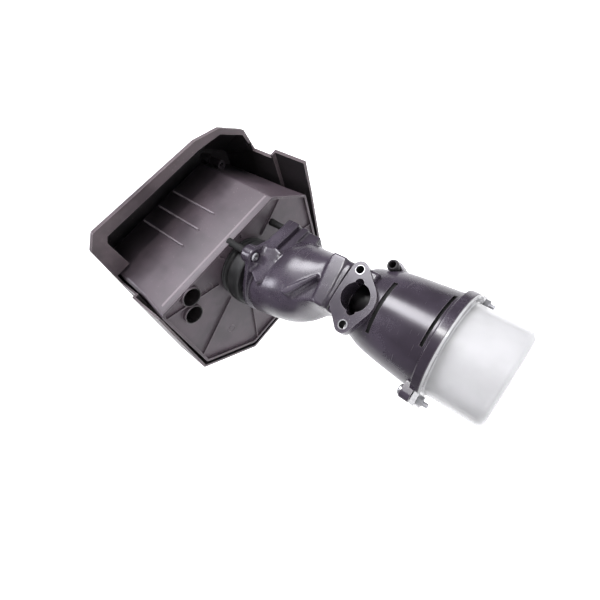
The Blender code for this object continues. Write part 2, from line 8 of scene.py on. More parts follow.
import bmesh
import bpy
from mathutils import Matrix, Vector


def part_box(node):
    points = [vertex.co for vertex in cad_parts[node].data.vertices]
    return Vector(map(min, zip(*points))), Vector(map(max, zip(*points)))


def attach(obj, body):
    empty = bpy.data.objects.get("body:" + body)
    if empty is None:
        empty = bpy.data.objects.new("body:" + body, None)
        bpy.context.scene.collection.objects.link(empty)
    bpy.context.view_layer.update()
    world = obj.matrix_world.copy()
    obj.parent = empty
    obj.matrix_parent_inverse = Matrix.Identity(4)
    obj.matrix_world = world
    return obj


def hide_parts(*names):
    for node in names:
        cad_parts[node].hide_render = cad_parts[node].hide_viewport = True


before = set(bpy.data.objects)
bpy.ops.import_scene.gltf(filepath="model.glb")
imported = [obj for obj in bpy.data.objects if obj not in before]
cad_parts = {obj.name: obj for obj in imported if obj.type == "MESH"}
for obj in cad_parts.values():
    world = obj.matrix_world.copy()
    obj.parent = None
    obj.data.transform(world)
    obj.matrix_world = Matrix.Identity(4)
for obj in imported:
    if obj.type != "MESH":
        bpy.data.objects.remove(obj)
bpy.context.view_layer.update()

# ---- Studio -----------------------------------------------------------------------------------
# A pale floor well below the part and a pale sheet far behind it, with four lamps in front. The
# camera looks up at the carburettor flange, rolled on its side.
scene = bpy.context.scene
scene.view_settings.view_transform = "Standard"

backwards = Vector((0, -0.8701, -0.4928)).normalized()
upwards = Vector((0.851, -0.2589, 0.4571))
upwards = (upwards - backwards * upwards.dot(backwards)).normalized()
rightwards = upwards.cross(backwards)
turned_camera = Matrix((rightwards, upwards, backwards)).transposed().to_4x4()
eye = Vector((-0.027, -0.303, -0.002))

camera_data = bpy.data.cameras.new("camera")
camera_data.lens = 24
camera_data.clip_start = 0.01
camera = bpy.data.objects.new("camera", camera_data)
camera.matrix_world = Matrix.Translation(eye) @ turned_camera
scene.collection.objects.link(camera)
scene.camera = camera


def lamp(name, place, size, watts, colour=(1, 1, 1)):
    """A square soft lamp at (right, up, back) metres from the part's middle as the camera has them."""
    data = bpy.data.lights.new(name, "AREA")
    data.size, data.energy, data.color = size, watts, colour
    made = bpy.data.objects.new(name, data)
    middle = Vector((-0.02, 0, 0.18))
    made.location = middle + rightwards * place[0] + upwards * place[1] + backwards * place[2]
    made.rotation_euler = (made.location - middle).to_track_quat("Z", "Y").to_euler()
    scene.collection.objects.link(made)


lamp("key", (-0.4, 0.62, 0.48), 0.36, 8.5, (0.96, 0.95, 1))
lamp("window_left", (-0.78, 0.14, 0.16), 0.2, 2.2, (0.92, 0.9, 1))
lamp("front_streak", (-0.28, 0.42, 0.72), 0.1, 3.2)
lamp("low_side", (0.5, -0.6, 0.5), 0.3, 2.6, (1, 0.93, 0.92))

world = bpy.data.worlds.new("world")
world.use_nodes = True
world.node_tree.nodes["Background"].inputs["Color"].default_value = (0.95, 0.96, 1, 1)
world.node_tree.nodes["Background"].inputs["Strength"].default_value = 0.2
scene.world = world


def sheet_of(name, middle, towards, half, glow):
    """A flat square of pale paper facing a direction, slightly lit from itself."""
    mesh = bpy.data.meshes.new(name)
    corners = [(-half, -half, 0), (half, -half, 0), (half, half, 0), (-half, half, 0)]
    mesh.from_pydata(corners, [], [(0, 1, 2, 3)])
    mesh.transform(Matrix.Translation(middle) @ towards.to_track_quat("Z", "Y").to_matrix().to_4x4())
    made = bpy.data.objects.new(name, mesh)
    scene.collection.objects.link(made)
    paper = bpy.data.materials.new(name)
    paper.use_nodes = True
    shader = paper.node_tree.nodes["Principled BSDF"]
    shader.inputs["Base Color"].default_value = (0.85, 0.85, 0.86, 1)
    shader.inputs["Roughness"].default_value = 1
    shader.inputs["Emission Color"].default_value = (1, 1, 1, 1)
    shader.inputs["Emission Strength"].default_value = glow
    mesh.materials.append(paper)


sheet_of("floor", Vector((0, 0, -0.35)), Vector((0, 0, 1)), 4, 0.35)
sheet_of("back_sheet", eye - backwards * 1.5, backwards, 2.4, 0.95)

# ---- Intake box -------------------------------------------------------------------------------
# An eight-sided injection moulding in dark brown-grey polypropylene, open at the top. Ribs run
# over its sunk floor to the neck hole, and two short hose tubes stand through it.
MM = 0.001
NECK = Vector((-26.8, -0.5))
BOX_TURN = radians(16)
FLOOR_Z, RIM_Z, BAND_Z, BOX_TOP_Z, WALL = 240.0, 237.0, 263.0, 338.0, 2.5
BOX_FOOT = [(-86.5, -40), (57, -40), (93, -8), (86, 58), (44, 99), (-42, 98), (-91, 52)]
BOX_BODY = [(-82.5, -43), (56, -43), (91, -9), (84.5, 57), (43, 97.5), (-41, 96.5), (-89, 51)]
BOX_HEAD = [(-79, -43), (55, -43), (89, -10), (83, 55), (42, 95.5), (-40, 94.5), (-87, 50)]
HOOD_SCREWS = [(-72, -37), (68, -36), (77.5, 49), (-80.5, 46)]
DUCT_LUGS = {"front": (0.3, -38.0), "right": (46.5, -14.9), "rear": (-7.3, 37.2)}
LUG_TOP_Z = 216.8


class Wire:
    """A shader socket that takes part in arithmetic: + - and * add Math nodes."""

    def __init__(self, recipe, socket):
        self.recipe, self.socket = recipe, socket

    def _math(self, operation, first, second):
        return self.recipe.node("ShaderNodeMath", {"operation": operation}, first, second)

    def __add__(self, other):
        return self._math("ADD", self, other)

    def __sub__(self, other):
        return self._math("SUBTRACT", self, other)

    def __rsub__(self, other):
        return self._math("SUBTRACT", other, self)

    def __mul__(self, other):
        return self._math("MULTIPLY", self, other)

    def above(self, low, high):
        """0 below low, 1 above high, smooth between."""
        return self.recipe.node("ShaderNodeMapRange", {"interpolation_type": "SMOOTHSTEP"},
                                self, low, high, 0.0, 1.0)

    __radd__, __rmul__ = __add__, __mul__


class Recipe:
    """A material being mixed: nodes are added by type, settings and inputs."""

    def __init__(self, name):
        self.material = bpy.data.materials.new(name)
        self.material.use_nodes = True
        self.tree = self.material.node_tree
        self.shader = self.tree.nodes["Principled BSDF"]
        self.place = self.node("ShaderNodeTexCoord", out="Object")

    def feed(self, socket, value):
        if isinstance(value, Wire):
            self.tree.links.new(value.socket, socket)
        else:
            socket.default_value = value

    def node(self, kind, settings=None, *values, out=0, **named):
        made = self.tree.nodes.new(kind)
        for key, value in (settings or {}).items():
            setattr(made, key, value)
        for socket, value in zip(made.inputs, values):
            self.feed(socket, value)
        for key, value in named.items():
            self.feed(made.inputs[key.replace("_", " ")], value)
        return Wire(self, made.outputs[out])

    def noise(self, per_metre, detail=2.0, at=None, **named):
        return self.node("ShaderNodeTexNoise", None, Vector=at or self.place, Scale=per_metre,
                         Detail=detail, **named)

    def stretched(self, scale):
        return self.node("ShaderNodeMapping", None, Vector=self.place, Scale=scale)

    def blend(self, share, first, second):
        """A colour between two, each a wire or an (r, g, b)."""
        made = self.tree.nodes.new("ShaderNodeMix")
        made.data_type = "RGBA"
        colours = [c if isinstance(c, Wire) else (*c, 1) for c in (first, second)]
        sockets = [s for s in made.inputs if s.type == "RGBA"]
        self.feed(made.inputs[0], share)
        for socket, colour in zip(sockets, colours):
            self.feed(socket, colour)
        return Wire(self, next(s for s in made.outputs if s.type == "RGBA"))

    def bump(self, height, strength, depth, under=None):
        named = {"Normal": under} if under else {}
        return self.node("ShaderNodeBump", None, Height=height, Strength=strength,
                         Distance=depth * MM, **named)

    def finish(self, colour, roughness, normal=None, metallic=0.0, **constants):
        self.feed(self.shader.inputs["Base Color"], colour if isinstance(colour, Wire) else (*colour, 1))
        self.feed(self.shader.inputs["Roughness"], roughness)
        self.shader.inputs["Metallic"].default_value = metallic
        if normal:
            self.feed(self.shader.inputs["Normal"], normal)
        for key, value in constants.items():
            self.shader.inputs[key.replace("_", " ")].default_value = value
        return self.material


def moulded(name, dark, light, edge, roughness=0.36, painted_shade_heights=None):
    """Dark moulded plastic: cloudy gloss, fine texture, flow marks, dust and paler edges. Given two
    heights, it fades to near-black from them up: painted shade, such as the hood casts."""
    mix = Recipe(name)
    cloud = mix.noise(22, 3)
    flow = mix.noise(60, 2, mix.stretched((1, 1, 0.25)))
    grain = mix.noise(1500, 2)
    dust = mix.noise(520, 4).above(0.63, 0.74) * cloud.above(0.45, 0.6)
    scratch = mix.noise(300, 2, mix.stretched((0.2, 0.2, 3.0))).above(0.68, 0.73)
    soft = mix.node("ShaderNodeBevel", {"samples": 4}, 0.9 * MM)
    face = mix.node("ShaderNodeNewGeometry", None, out="Normal")
    facing = mix.node("ShaderNodeVectorMath", {"operation": "DOT_PRODUCT"}, soft, face, out="Value")
    worn = (1 - facing).above(0.02, 0.25)
    colour = mix.blend(cloud.above(0.38, 0.62), dark, light)
    colour = mix.blend(flow.above(0.5, 0.7) * 0.25, colour, tuple(c * 1.35 for c in light))
    colour = mix.blend(worn * 0.7, colour, edge)
    colour = mix.blend(dust * 0.3 + scratch * 0.05, colour, (0.3, 0.27, 0.26))
    # Painted shade: from the given heights up the colour fades to near-black.
    if painted_shade_heights:
        height = mix.node("ShaderNodeSeparateXYZ", None, mix.place, out="Z")
        colour = mix.blend(height.above(*painted_shade_heights) * 0.93, colour, (0.004, 0.003, 0.004))
    rough = roughness + (cloud - 0.5) * 0.22 + dust * 0.25 + scratch * 0.1 + (grain - 0.5) * 0.06
    fine = mix.bump(grain, 0.1, 0.05)
    return mix.finish(colour, rough, mix.bump(flow + cloud * 2, 0.12, 0.5, fine), Specular_IOR_Level=0.5)


HOUSING_PLASTIC = moulded("housing_plastic", (0.027, 0.021, 0.03), (0.046, 0.037, 0.052),
                          (0.17, 0.15, 0.165), 0.27)
# The box fades to near-black between 290 and 332 mm up: painted shade under the hood.
BOX_PLASTIC = moulded("box_plastic", (0.04, 0.03, 0.037), (0.066, 0.05, 0.06), (0.21, 0.175, 0.19), 0.46,
                      painted_shade_heights=(0.29, 0.332))


def shape(name, fill):
    """An object whose mesh fill(bm) makes in millimetres."""
    bm = bmesh.new()
    fill(bm)
    bmesh.ops.scale(bm, vec=(MM, MM, MM), verts=bm.verts)
    mesh = bpy.data.meshes.new(name)
    bm.to_mesh(mesh)
    bm.free()
    made = bpy.data.objects.new(name, mesh)
    scene.collection.objects.link(made)
    return made


def skin(name, rings, closed=False):
    """A skin through rings of equal point counts: capped, or joined end to end."""

    def fill(bm):
        rows = [[bm.verts.new(point) for point in ring] for ring in rings]
        pairs = list(zip(rows, rows[1:])) + ([(rows[-1], rows[0])] if closed else [])
        for lower, upper in pairs:
            for i in range(len(lower)):
                j = (i + 1) % len(lower)
                bm.faces.new((lower[i], lower[j], upper[j], upper[i]))
        if not closed:
            bm.faces.new(reversed(rows[0]))
            bm.faces.new(rows[-1])
        bmesh.ops.triangulate(bm, faces=[f for f in bm.faces if len(f.verts) == 4])
        bmesh.ops.recalc_face_normals(bm, faces=bm.faces)

    return shape(name, fill)


def circle(centre, radius, z, steps=96):
    return [(centre[0] + radius * cos(2 * pi * i / steps), centre[1] + radius * sin(2 * pi * i / steps), z)
            for i in range(steps)]


def spun(name, profile, centre=(0, 0), steps=96, closed=False):
    """A turned solid through (radius, z) points; closed makes a ring of it."""
    return skin(name, [circle(centre, r, z, steps) for r, z in profile], closed)


def rod(name, start, end, radius, steps=48):
    start, end = Vector(start), Vector(end)
    along = end - start
    place = Matrix.Translation((start + end) / 2) @ along.to_track_quat("Z", "Y").to_matrix().to_4x4()
    return shape(name, lambda bm: bmesh.ops.create_cone(
        bm, cap_ends=True, segments=steps, radius1=radius, radius2=radius, depth=along.length, matrix=place))


def slab(name, outline, low, high, stand_at=None):
    """A flat outline given thickness along Z, or, stood up, an (x, z) outline between two y."""
    if stand_at is None:
        return skin(name, [[(x, y, low) for x, y in outline], [(x, y, high) for x, y in outline]])
    return skin(name, [[(x, high, z) for x, z in outline], [(x, low, z) for x, z in outline]])


def brick(name, low, high):
    outline = [(low[0], low[1]), (high[0], low[1]), (high[0], high[1]), (low[0], high[1])]
    return slab(name, outline, low[2], high[2])


def worked(target, operation, tools):
    for tool in tools:
        boolean = target.modifiers.new(tool.name, "BOOLEAN")
        boolean.operation, boolean.object = operation, tool
        tool.hide_render = True
    return target


def join(target, *tools):
    return worked(target, "UNION", tools)


def carve(target, *tools):
    return worked(target, "DIFFERENCE", tools)


def evaluated(target):
    """The target's mesh with its modifiers applied; the tools they used are thrown away."""
    graph = bpy.context.evaluated_depsgraph_get()
    mesh = bpy.data.meshes.new_from_object(target.evaluated_get(graph))
    tools = [m.object for m in target.modifiers if m.type == "BOOLEAN"]
    target.modifiers.clear()
    target.data = mesh
    for tool in tools:
        bpy.data.objects.remove(tool, do_unlink=True)
    return mesh


def settle(target, material, body, nodes, round_by=0.0, sharp=38, steps=2):
    """Applies what is left, rounds the edges, and puts the piece on its body for its nodes."""
    evaluated(target)
    if round_by:
        bm = bmesh.new()
        bm.from_mesh(target.data)
        bmesh.ops.remove_doubles(bm, verts=bm.verts, dist=0.01 * MM)
        bmesh.ops.dissolve_limit(bm, angle_limit=radians(0.6), verts=bm.verts, edges=bm.edges)
        bm.to_mesh(target.data)
        bm.free()
        bevel = target.modifiers.new("Rounded edges", "BEVEL")
        bevel.width, bevel.segments = round_by * MM, steps
        bevel.limit_method, bevel.angle_limit = "ANGLE", radians(28)
        bevel.miter_outer = "MITER_ARC"
        evaluated(target)
    target.data.shade_smooth()
    target.data.set_sharp_from_angle(angle=radians(sharp))
    if round_by:
        weighted = target.modifiers.new("Flat faces", "WEIGHTED_NORMAL")
        weighted.keep_sharp = True
        evaluated(target)
    target.data.materials.clear()
    target.data.materials.append(material)
    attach(target, body)
    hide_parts(*nodes)
    return target


def inset(outline, distance):
    moved = []
    for i, here in enumerate(outline):
        before, here, after = (Vector(p) for p in (outline[i - 1], here, outline[(i + 1) % len(outline)]))
        arriving, leaving = (here - before).normalized(), (after - here).normalized()
        inward = Vector((-arriving.y, arriving.x)), Vector((-leaving.y, leaving.x))
        middle = (inward[0] + inward[1]).normalized()
        moved.append(tuple(here + middle * (distance / middle.dot(inward[0]))))
    return moved


def rounded(outline, radius, steps=6):
    """The convex outline with each corner replaced by an arc."""
    made = []
    for i, here in enumerate(outline):
        before, here, after = (Vector(p) for p in (outline[i - 1], here, outline[(i + 1) % len(outline)]))
        back, forth = (before - here).normalized(), (after - here).normalized()
        half = back.angle(forth) / 2
        centre = here + (back + forth).normalized() * (radius / sin(half))
        reach = radius / tan(half)
        first, last = here + back * reach - centre, here + forth * reach - centre
        made += [tuple(centre + first.slerp(last, k / steps) * radius) for k in range(steps + 1)]
    return made


def in_box_axes(outline, z=None):
    """Plan points about the neck in the box's turned axes, as points of the frame."""
    c, s = cos(BOX_TURN), sin(BOX_TURN)
    placed = [(NECK.x + x * c - y * s, NECK.y + x * s + y * c) for x, y in outline]
    return placed if z is None else [(x, y, z) for x, y in placed]


def reach_of(outline, angle):
    """How far the outline is from the neck in the direction of an angle."""
    way = Vector((cos(angle), sin(angle)))
    for i in range(len(outline)):
        a, b = Vector(outline[i - 1]), Vector(outline[i])
        side = b - a
        across = way.x * side.y - way.y * side.x
        if abs(across) > 1e-9:
            far = (a.x * side.y - a.y * side.x) / across
            share = (a.x * way.y - a.y * way.x) / across
            if far > 0 and 0 <= share <= 1:
                return far
    return 0.0


def tapered_rib(name, angle, start, end, low, high):
    """A moulded rib, thinner at its free lower edge."""
    way = Vector((cos(angle), sin(angle)))
    side = Vector((-way.y, way.x))
    rings = []
    for z, half in ((low, 0.55), (high, 0.95)):
        corners = [way * start - side * half, way * end - side * half,
                   way * end + side * half, way * start + side * half]
        rings.append(in_box_axes([tuple(c) for c in corners], z))
    return skin(name, rings)


def box_rings():
    rim, foot = rounded(inset(BOX_FOOT, WALL), 2.5), rounded(BOX_FOOT, 4)
    body, within = rounded(BOX_BODY, 4), rounded(inset(BOX_BODY, WALL), 2.5)
    head, mouth = rounded(BOX_HEAD, 4), rounded(inset(BOX_HEAD, WALL), 2.5)
    levels = [(rim, FLOOR_Z), (rim, RIM_Z), (foot, RIM_Z), (foot, RIM_Z + 3), (body, BAND_Z),
              (head, BOX_TOP_Z), (mouth, BOX_TOP_Z), (within, BAND_Z), (within, FLOOR_Z + 3)]
    return [in_box_axes(outline, z) for outline, z in levels]


air_box = skin("intake_box", box_rings())
for k in range(8):
    angle = radians(-25 + 45 * k)
    end = reach_of(BOX_FOOT, angle) - WALL + 0.4
    join(air_box, tapered_rib(f"rib_{k}", angle, 33, end, RIM_Z + 1.0, FLOOR_Z + 1))
floor_tubes = [((-57.1, -29.8), 235.4), ((-66.3, -11.6), 236.2)]
for i, (place, mouth) in enumerate(floor_tubes):
    x, y = in_box_axes([place])[0]
    join(air_box, spun(f"tube_{i}", [(9.5, mouth + 0.3), (9.5, 256), (8.2, 256), (8.2, mouth + 0.3),
                                     (8.6, mouth), (9.1, mouth)], (x, y), 64, closed=True))
    carve(air_box, rod(f"tube_bore_{i}", (x, y, mouth - 4), (x, y, 260), 8.2, 64))
carve(air_box, rod("neck_hole", (*NECK, 225), (*NECK, 250), 27.5, 96))
for i, (x, y) in enumerate(in_box_axes(HOOD_SCREWS)):
    join(air_box, rod(f"boss_{i}", (x, y, BOX_TOP_Z - 16), (x, y, BOX_TOP_Z - 0.5), 4.6))
    carve(air_box, rod(f"boss_pilot_{i}", (x, y, BOX_TOP_Z - 18), (x, y, BOX_TOP_Z + 9), 2.2, 24))
for x in (-27, -6.7, 13.8):
    outline = [(x - 0.6, -44.9), (x + 0.6, -44.9), (x + 0.8, -42), (x - 0.8, -42)]
    join(air_box, slab(f"front_rib_{x:.0f}", in_box_axes(outline), 272, 334))
for i, (x, y) in enumerate(in_box_axes([(-70, 10), (-30, 72), (40, 72), (66, 12), (40, -30), (-30, -32)])):
    join(air_box, rod(f"rest_post_{i}", (x, y, FLOOR_Z + 2), (x, y, 267.7), 4.0, 24))
for i, (place, r) in enumerate([((-40, -18), 4.2), ((60, 30), 4.2), ((-50, 50), 4.2), ((20, 66), 4.2)]):
    x, y = in_box_axes([place])[0]
    mark = spun(f"ejector_mark_{i}", [(r, FLOOR_Z - 1), (r, FLOOR_Z + 0.35), (r - 0.45, FLOOR_Z + 0.35),
                                      (r - 0.45, FLOOR_Z - 1)], (x, y), 48, closed=True)
    carve(air_box, mark)
settle(air_box, BOX_PLASTIC, "housing", ["air_box"], round_by=0.55)


def from_box_axes(x, y):
    """The opposite of in_box_axes, for one point."""
    c, s = cos(BOX_TURN), sin(BOX_TURN)
    x, y = x - NECK.x, y - NECK.y
    return x * c + y * s, y * c - x * s


# Painted shade: a near-black finish for the hose tubes' bores.
air_box.data.materials.append(moulded("tube_painted_shade", (0.004, 0.003, 0.004), (0.008, 0.006, 0.007),
                                      (0.02, 0.018, 0.02), 0.5))
# Painted highlight: a paler finish for the front wall's ribs.
air_box.data.materials.append(moulded("rib_painted_highlight", (0.12, 0.1, 0.115), (0.18, 0.155, 0.175),
                                      (0.3, 0.27, 0.29), 0.4))
# The ribs on the front wall, from 271.5 to 322 mm up, take the painted highlight and so stay out of the
# painted shade.
for face in air_box.data.polygons:
    x, y, z = face.center / MM
    x, y = from_box_axes(x, y)
    # The tubes' bores take the painted shade.
    if z < 262 and any(hypot(x - u, y - v) < 8.4 for (u, v), mouth in floor_tubes):
        face.material_index = 1
    elif y < -43.6 and 271.5 < z < 322:
        face.material_index = 2

# ---- Neck collar ------------------------------------------------------------------------------
# A black rubber boot pressed into the floor's neck hole. A thin flange lies against the floor,
# and its bellied sleeve grips the elbow's spigot.


def rubber(name, tone):
    """Dull moulded rubber with a bloom of dust and a fine matt skin."""
    mix = Recipe(name)
    bloom = mix.noise(90, 4).above(0.45, 0.75)
    skin_grain = mix.noise(2200, 2)
    colour = mix.blend(bloom * 0.15, tone, (0.06, 0.055, 0.055))
    rough = 0.58 + bloom * 0.2 + (skin_grain - 0.5) * 0.1
    return mix.finish(colour, rough, mix.bump(skin_grain, 0.3, 0.08))


BLACK_RUBBER = rubber("black_rubber", (0.006, 0.006, 0.0065))

collar_outside = [(27.2, 243), (27.2, 239.6), (29.3, 239.6), (29.6, 238.9), (29.3, 238.2), (27.4, 237.6),
                  (26.6, 236), (26.8, 233.5), (28.2, 231.6), (30.2, 230.4), (31, 228.6), (31, 222.4),
                  (30.6, 219.4), (29.6, 217.8), (28.4, 217.3), (23.8, 217.3)]
collar = spun("rubber_boot", [*collar_outside, (23.8, 243)], tuple(NECK), 120, closed=True)
settle(collar, BLACK_RUBBER, "housing", ["neck_collar"], round_by=0.4, sharp=50)

# ---- Duct elbow -------------------------------------------------------------------------------
# The cast-looking bend between canister and box, moulded in one piece. Its square foot swells
# into a round belly and closes to the neck spigot; three screw lugs stand out of a web under it.
JOINT_Z = 127.0
BLOCK_X, BLOCK_Y = (-23.6, 19.5), (-34.0, 24.0)
ELBOW_SCREWS = [(-19.5, 27.5), (15.5, 27.5)]
LUG_FACE_Z, SPIGOT_RADIUS, ELBOW_WALL = 206.0, 23.5, 2.6
foot_middle = ((BLOCK_X[0] + BLOCK_X[1]) / 2, (BLOCK_Y[0] + BLOCK_Y[1]) / 2)
foot_half = ((BLOCK_X[1] - BLOCK_X[0]) / 2, (BLOCK_Y[1] - BLOCK_Y[0]) / 2)
belly = [(141, *foot_middle, *foot_half, 7), (147, -4.1, -4, 23.9, 29, 4.5), (155, -9, -3.5, 30, 30, 3),
         (167, -13, -2.5, 34, 32, 2.5), (180, -14.8, -2, 36, 32.5, 2.3), (193, -18.5, -1, 35, 31, 2.2),
         (202, -23.5, -0.5, 31, 28.5, 2.1), (208, *NECK, 25, 25, 2),
         (211, *NECK, SPIGOT_RADIUS, SPIGOT_RADIUS, 2)]


def section_at(z):
    """Centre, half sizes and squareness of the belly at a height, eased between its sections."""
    for k in range(len(belly) - 1):
        if belly[k][0] <= z <= belly[k + 1][0]:
            low, high = belly[k], belly[k + 1]
            before, after = belly[max(k - 1, 0)], belly[min(k + 2, len(belly) - 1)]
            span, t = high[0] - low[0], (z - low[0]) / (high[0] - low[0])
            values = []
            for i in range(1, 6):
                start = (high[i] - before[i]) / (high[0] - before[0]) * span
                end = (after[i] - low[i]) / (after[0] - low[0]) * span
                values.append((2 * t**3 - 3 * t**2 + 1) * low[i] + (t**3 - 2 * t**2 + t) * start
                              + (3 * t**2 - 2 * t**3) * high[i] + (t**3 - t**2) * end)
            return values
    return list(belly[-1][1:])


def squarish(z, centre, half, power, steps=112):
    """A level ring between an ellipse (power 2) and a rounded rectangle."""
    ring = []
    for i in range(steps):
        c, s = cos(2 * pi * i / steps), sin(2 * pi * i / steps)
        reach = (abs(c) ** power + abs(s) ** power) ** (-1 / power)
        ring.append((centre[0] + half[0] * c * reach, centre[1] + half[1] * s * reach, z))
    return ring


elbow_foot = JOINT_Z + 1.2
levels = [elbow_foot, 134.0, *[141 + 2.0 * k for k in range(35)], 211.0, 225.0, 239.0]
sections = [(z, (foot_middle + foot_half + (7,)) if z < 141 else section_at(z)) for z in levels]
outside = [squarish(z, v[:2], v[2:4], v[4]) for z, v in sections]
within = [squarish(z, v[:2], (v[2] - ELBOW_WALL, v[3] - ELBOW_WALL), v[4]) for z, v in reversed(sections)]
elbow = skin("duct_bend", outside + within, closed=True)

lugs = {name: in_box_axes([place])[0] for name, place in DUCT_LUGS.items()}
lug_round = [(x + 7.5 * cos(pi * k / 12), y + 7.5 * sin(pi * k / 12))
             for x, y in lugs.values() for k in range(24)]
lug_round += [(NECK.x + 29.5 * cos(pi * k / 24), NECK.y + 29.5 * sin(pi * k / 24)) for k in range(48)]


def wrapped(points):
    """The outline of a band stretched round points, counter-clockwise."""
    points = sorted(points)

    def half(sequence):
        chain = []
        for p in sequence:
            while len(chain) > 1 and ((chain[-1][0] - chain[-2][0]) * (p[1] - chain[-2][1])
                                      - (chain[-1][1] - chain[-2][1]) * (p[0] - chain[-2][0])) <= 1e-9:
                chain.pop()
            chain.append(p)
        return chain[:-1]

    return half(points) + half(reversed(points))


lug_plate = slab("lug_plate", wrapped(lug_round), LUG_FACE_Z + 1.5, LUG_FACE_Z + 5)
evaluated(carve(lug_plate, rod("plate_bore", (*NECK, 190), (*NECK, 230), SPIGOT_RADIUS - 1.2, 96)))
join(elbow, lug_plate)


def bar_between(name, start, end, thick, low, high):
    """An upright moulded bar whose front face runs from one plan point to another."""
    start, end = Vector(start), Vector(end)
    way = (end - start).normalized()
    back = Vector((-way.y, way.x)) * thick
    return slab(name, [tuple(p) for p in (start, end, end + back, start + back)], low, high)


join(elbow, bar_between("stop_bar", (-2.6, -32), (29, -18.6), 14, 198.8, 211))
join(elbow, bar_between("stop_bar_step", (-2.6, -30.2), (28.4, -16.9), 14, 189, 195.6))
join(elbow, bar_between("stop_bar_root", (-7, -28), (27.6, -13.2), 16, 177, 199.5))
web = [(-34.5, 196), (-31.8, 192.8), (-13.1, 191.3), (-2, 189.5), (0, 197), (-4, 206), (-8.5, 213),
       (-16, 217), (-23.5, 213)]
join(elbow, slab("lug_web", web, -32.9, -18, stand_at=True))
join(elbow, slab("foot_plate", [(-23.2, 131.5), (18.8, 134.2), (18.2, 146.2), (14, 147.4), (-21, 142.2),
                                (-23.4, 140)], -34.9, -26, stand_at=True))
join(elbow, slab("pointer_rib", [(-29.4, 166.8), (-27.8, 168.6), (-25.4, 168), (-3.4, 149), (-4.2, 146.6),
                                 (-26, 160.2), (-29, 163)], -37.2, -26, stand_at=True))
pocket = [(-33, 161), (-27, 158.6), (-4.5, 145.8), (-20, 143.2), (-24, 141.4), (-33.5, 138)]
pocket_back = [(-31, 163.5), (-25, 162), (-1.5, 147.5), (-18, 144), (-23.5, 143.4)]
join(elbow, slab("pocket_back", pocket_back, -31.7, -26.5, stand_at=True))
carve(elbow, slab("pocket", pocket, -50, -30.4, stand_at=True))
for name, (x, y) in lugs.items():
    join(elbow, rod(f"lug_{name}", (x, y, LUG_FACE_Z), (x, y, LUG_TOP_Z), 8.2, 64))
    carve(elbow, rod(f"lug_seat_{name}", (x, y, 199), (x, y, LUG_FACE_Z + 2.6), 5.0, 48),
          rod(f"lug_hole_{name}", (x, y, 190), (x, y, 230), 2.8, 32))
for i, (x, y) in enumerate(ELBOW_SCREWS):
    join(elbow, rod(f"foot_lug_{i}", (x, y - 1, elbow_foot), (x, y - 1, elbow_foot + 7), 5.6))
    carve(elbow, rod(f"foot_lug_hole_{i}", (x, y, 120), (x, y, elbow_foot + 9), 2.5, 32),
          rod(f"foot_head_room_{i}", (x, y, elbow_foot + 7), (x, y, elbow_foot + 30), 5.6))
evaluated(elbow)
remesh = elbow.modifiers.new("Even skin", "REMESH")
remesh.mode, remesh.voxel_size = "VOXEL", 0.9 * MM
remesh.adaptivity = 0
soften = elbow.modifiers.new("Moulded fillets", "SMOOTH")
soften.factor, soften.iterations = 0.5, 3
settle(elbow, HOUSING_PLASTIC, "housing", ["elbow_duct"], sharp=180)

# ---- Joint gasket -----------------------------------------------------------------------------
# A die-cut sheet of black fibre squeezed between the elbow's foot and the canister's block.


def fibre(name, tone, fleck, per_metre=900):
    """Pressed or felted fibre: short flecks, a soft sheen-free face and a pulled surface."""
    mix = Recipe(name)
    strands = mix.noise(per_metre, 5, mix.stretched((1, 2.5, 1)))
    clumps = mix.noise(per_metre / 9, 3)
    colour = mix.blend(strands.above(0.4, 0.65), tone, fleck)
    return mix.finish(colour, 0.9 + (clumps - 0.5) * 0.15, mix.bump(strands + clumps, 0.6, 0.4))


GASKET_SHEET = fibre("gasket_sheet", (0.03, 0.03, 0.032), (0.075, 0.072, 0.07))
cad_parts["joint_gasket"].data.materials[0] = GASKET_SHEET

# ---- Filter canister --------------------------------------------------------------------------
# A tapering bell in the same plastic, with the elbow's block and the diamond carburettor flange
# moulded on. Two ears carry the cup's bolts, and slots in relief run part of the way round it.
CANISTER_BASE, EAR_TOP, RIM_RADIUS, LIP_LOW, LIP_INSIDE = 46.3, 54.0, 43.5, 43.9, 41.6
FLANGE_FACE_Y, FLANGE_BACK_Y, PORT_RADIUS = -38.0, -30.0, 11.2
FLANGE_CENTRE, PORT_CENTRE, FLANGE_TILT = (-5.6, 113.5), (-4.4, 110.8), radians(14.8)
TUBE_RADIUS, STUD_SPACING, EAR_DISTANCE = 14.0, 42.0, 45.5
block_top = JOINT_Z - 0.4
ear_way = Vector((cos(radians(19)), sin(radians(19))))
ears = [ear_way * EAR_DISTANCE, -ear_way * EAR_DISTANCE]
tilt = Vector((cos(FLANGE_TILT), sin(FLANGE_TILT)))
studs = [tuple(Vector(FLANGE_CENTRE) + tilt * (side * STUD_SPACING / 2)) for side in (1, -1)]
nipple_start, nipple_end = Vector((32.0, -1.0, 105.5)), Vector((32.0, -20.5, 106.5))


def round_points(circles, steps=56):
    return [(x + r * cos(2 * pi * i / steps), z + r * sin(2 * pi * i / steps))
            for x, z, r in circles for i in range(steps)]


def ear_outline(ear, grow=0.0):
    return wrapped(round_points([(*ear, 5.2 + grow), (*(ear * 0.86), 6.7 + grow)]))


def sector_ring(name, inner, outer, low, high, first, last):
    """Part of a ring between two angles in degrees, with round ends left to the bevel."""
    steps = 48
    rings = []
    for k in range(steps + 1):
        angle = radians(first + (last - first) * k / steps)
        c, s = cos(angle), sin(angle)
        rings.append([(inner * c, inner * s, low), (outer * c, outer * s, low),
                      (outer * c, outer * s, high), (inner * c, inner * s, high)])
    return skin(name, rings)


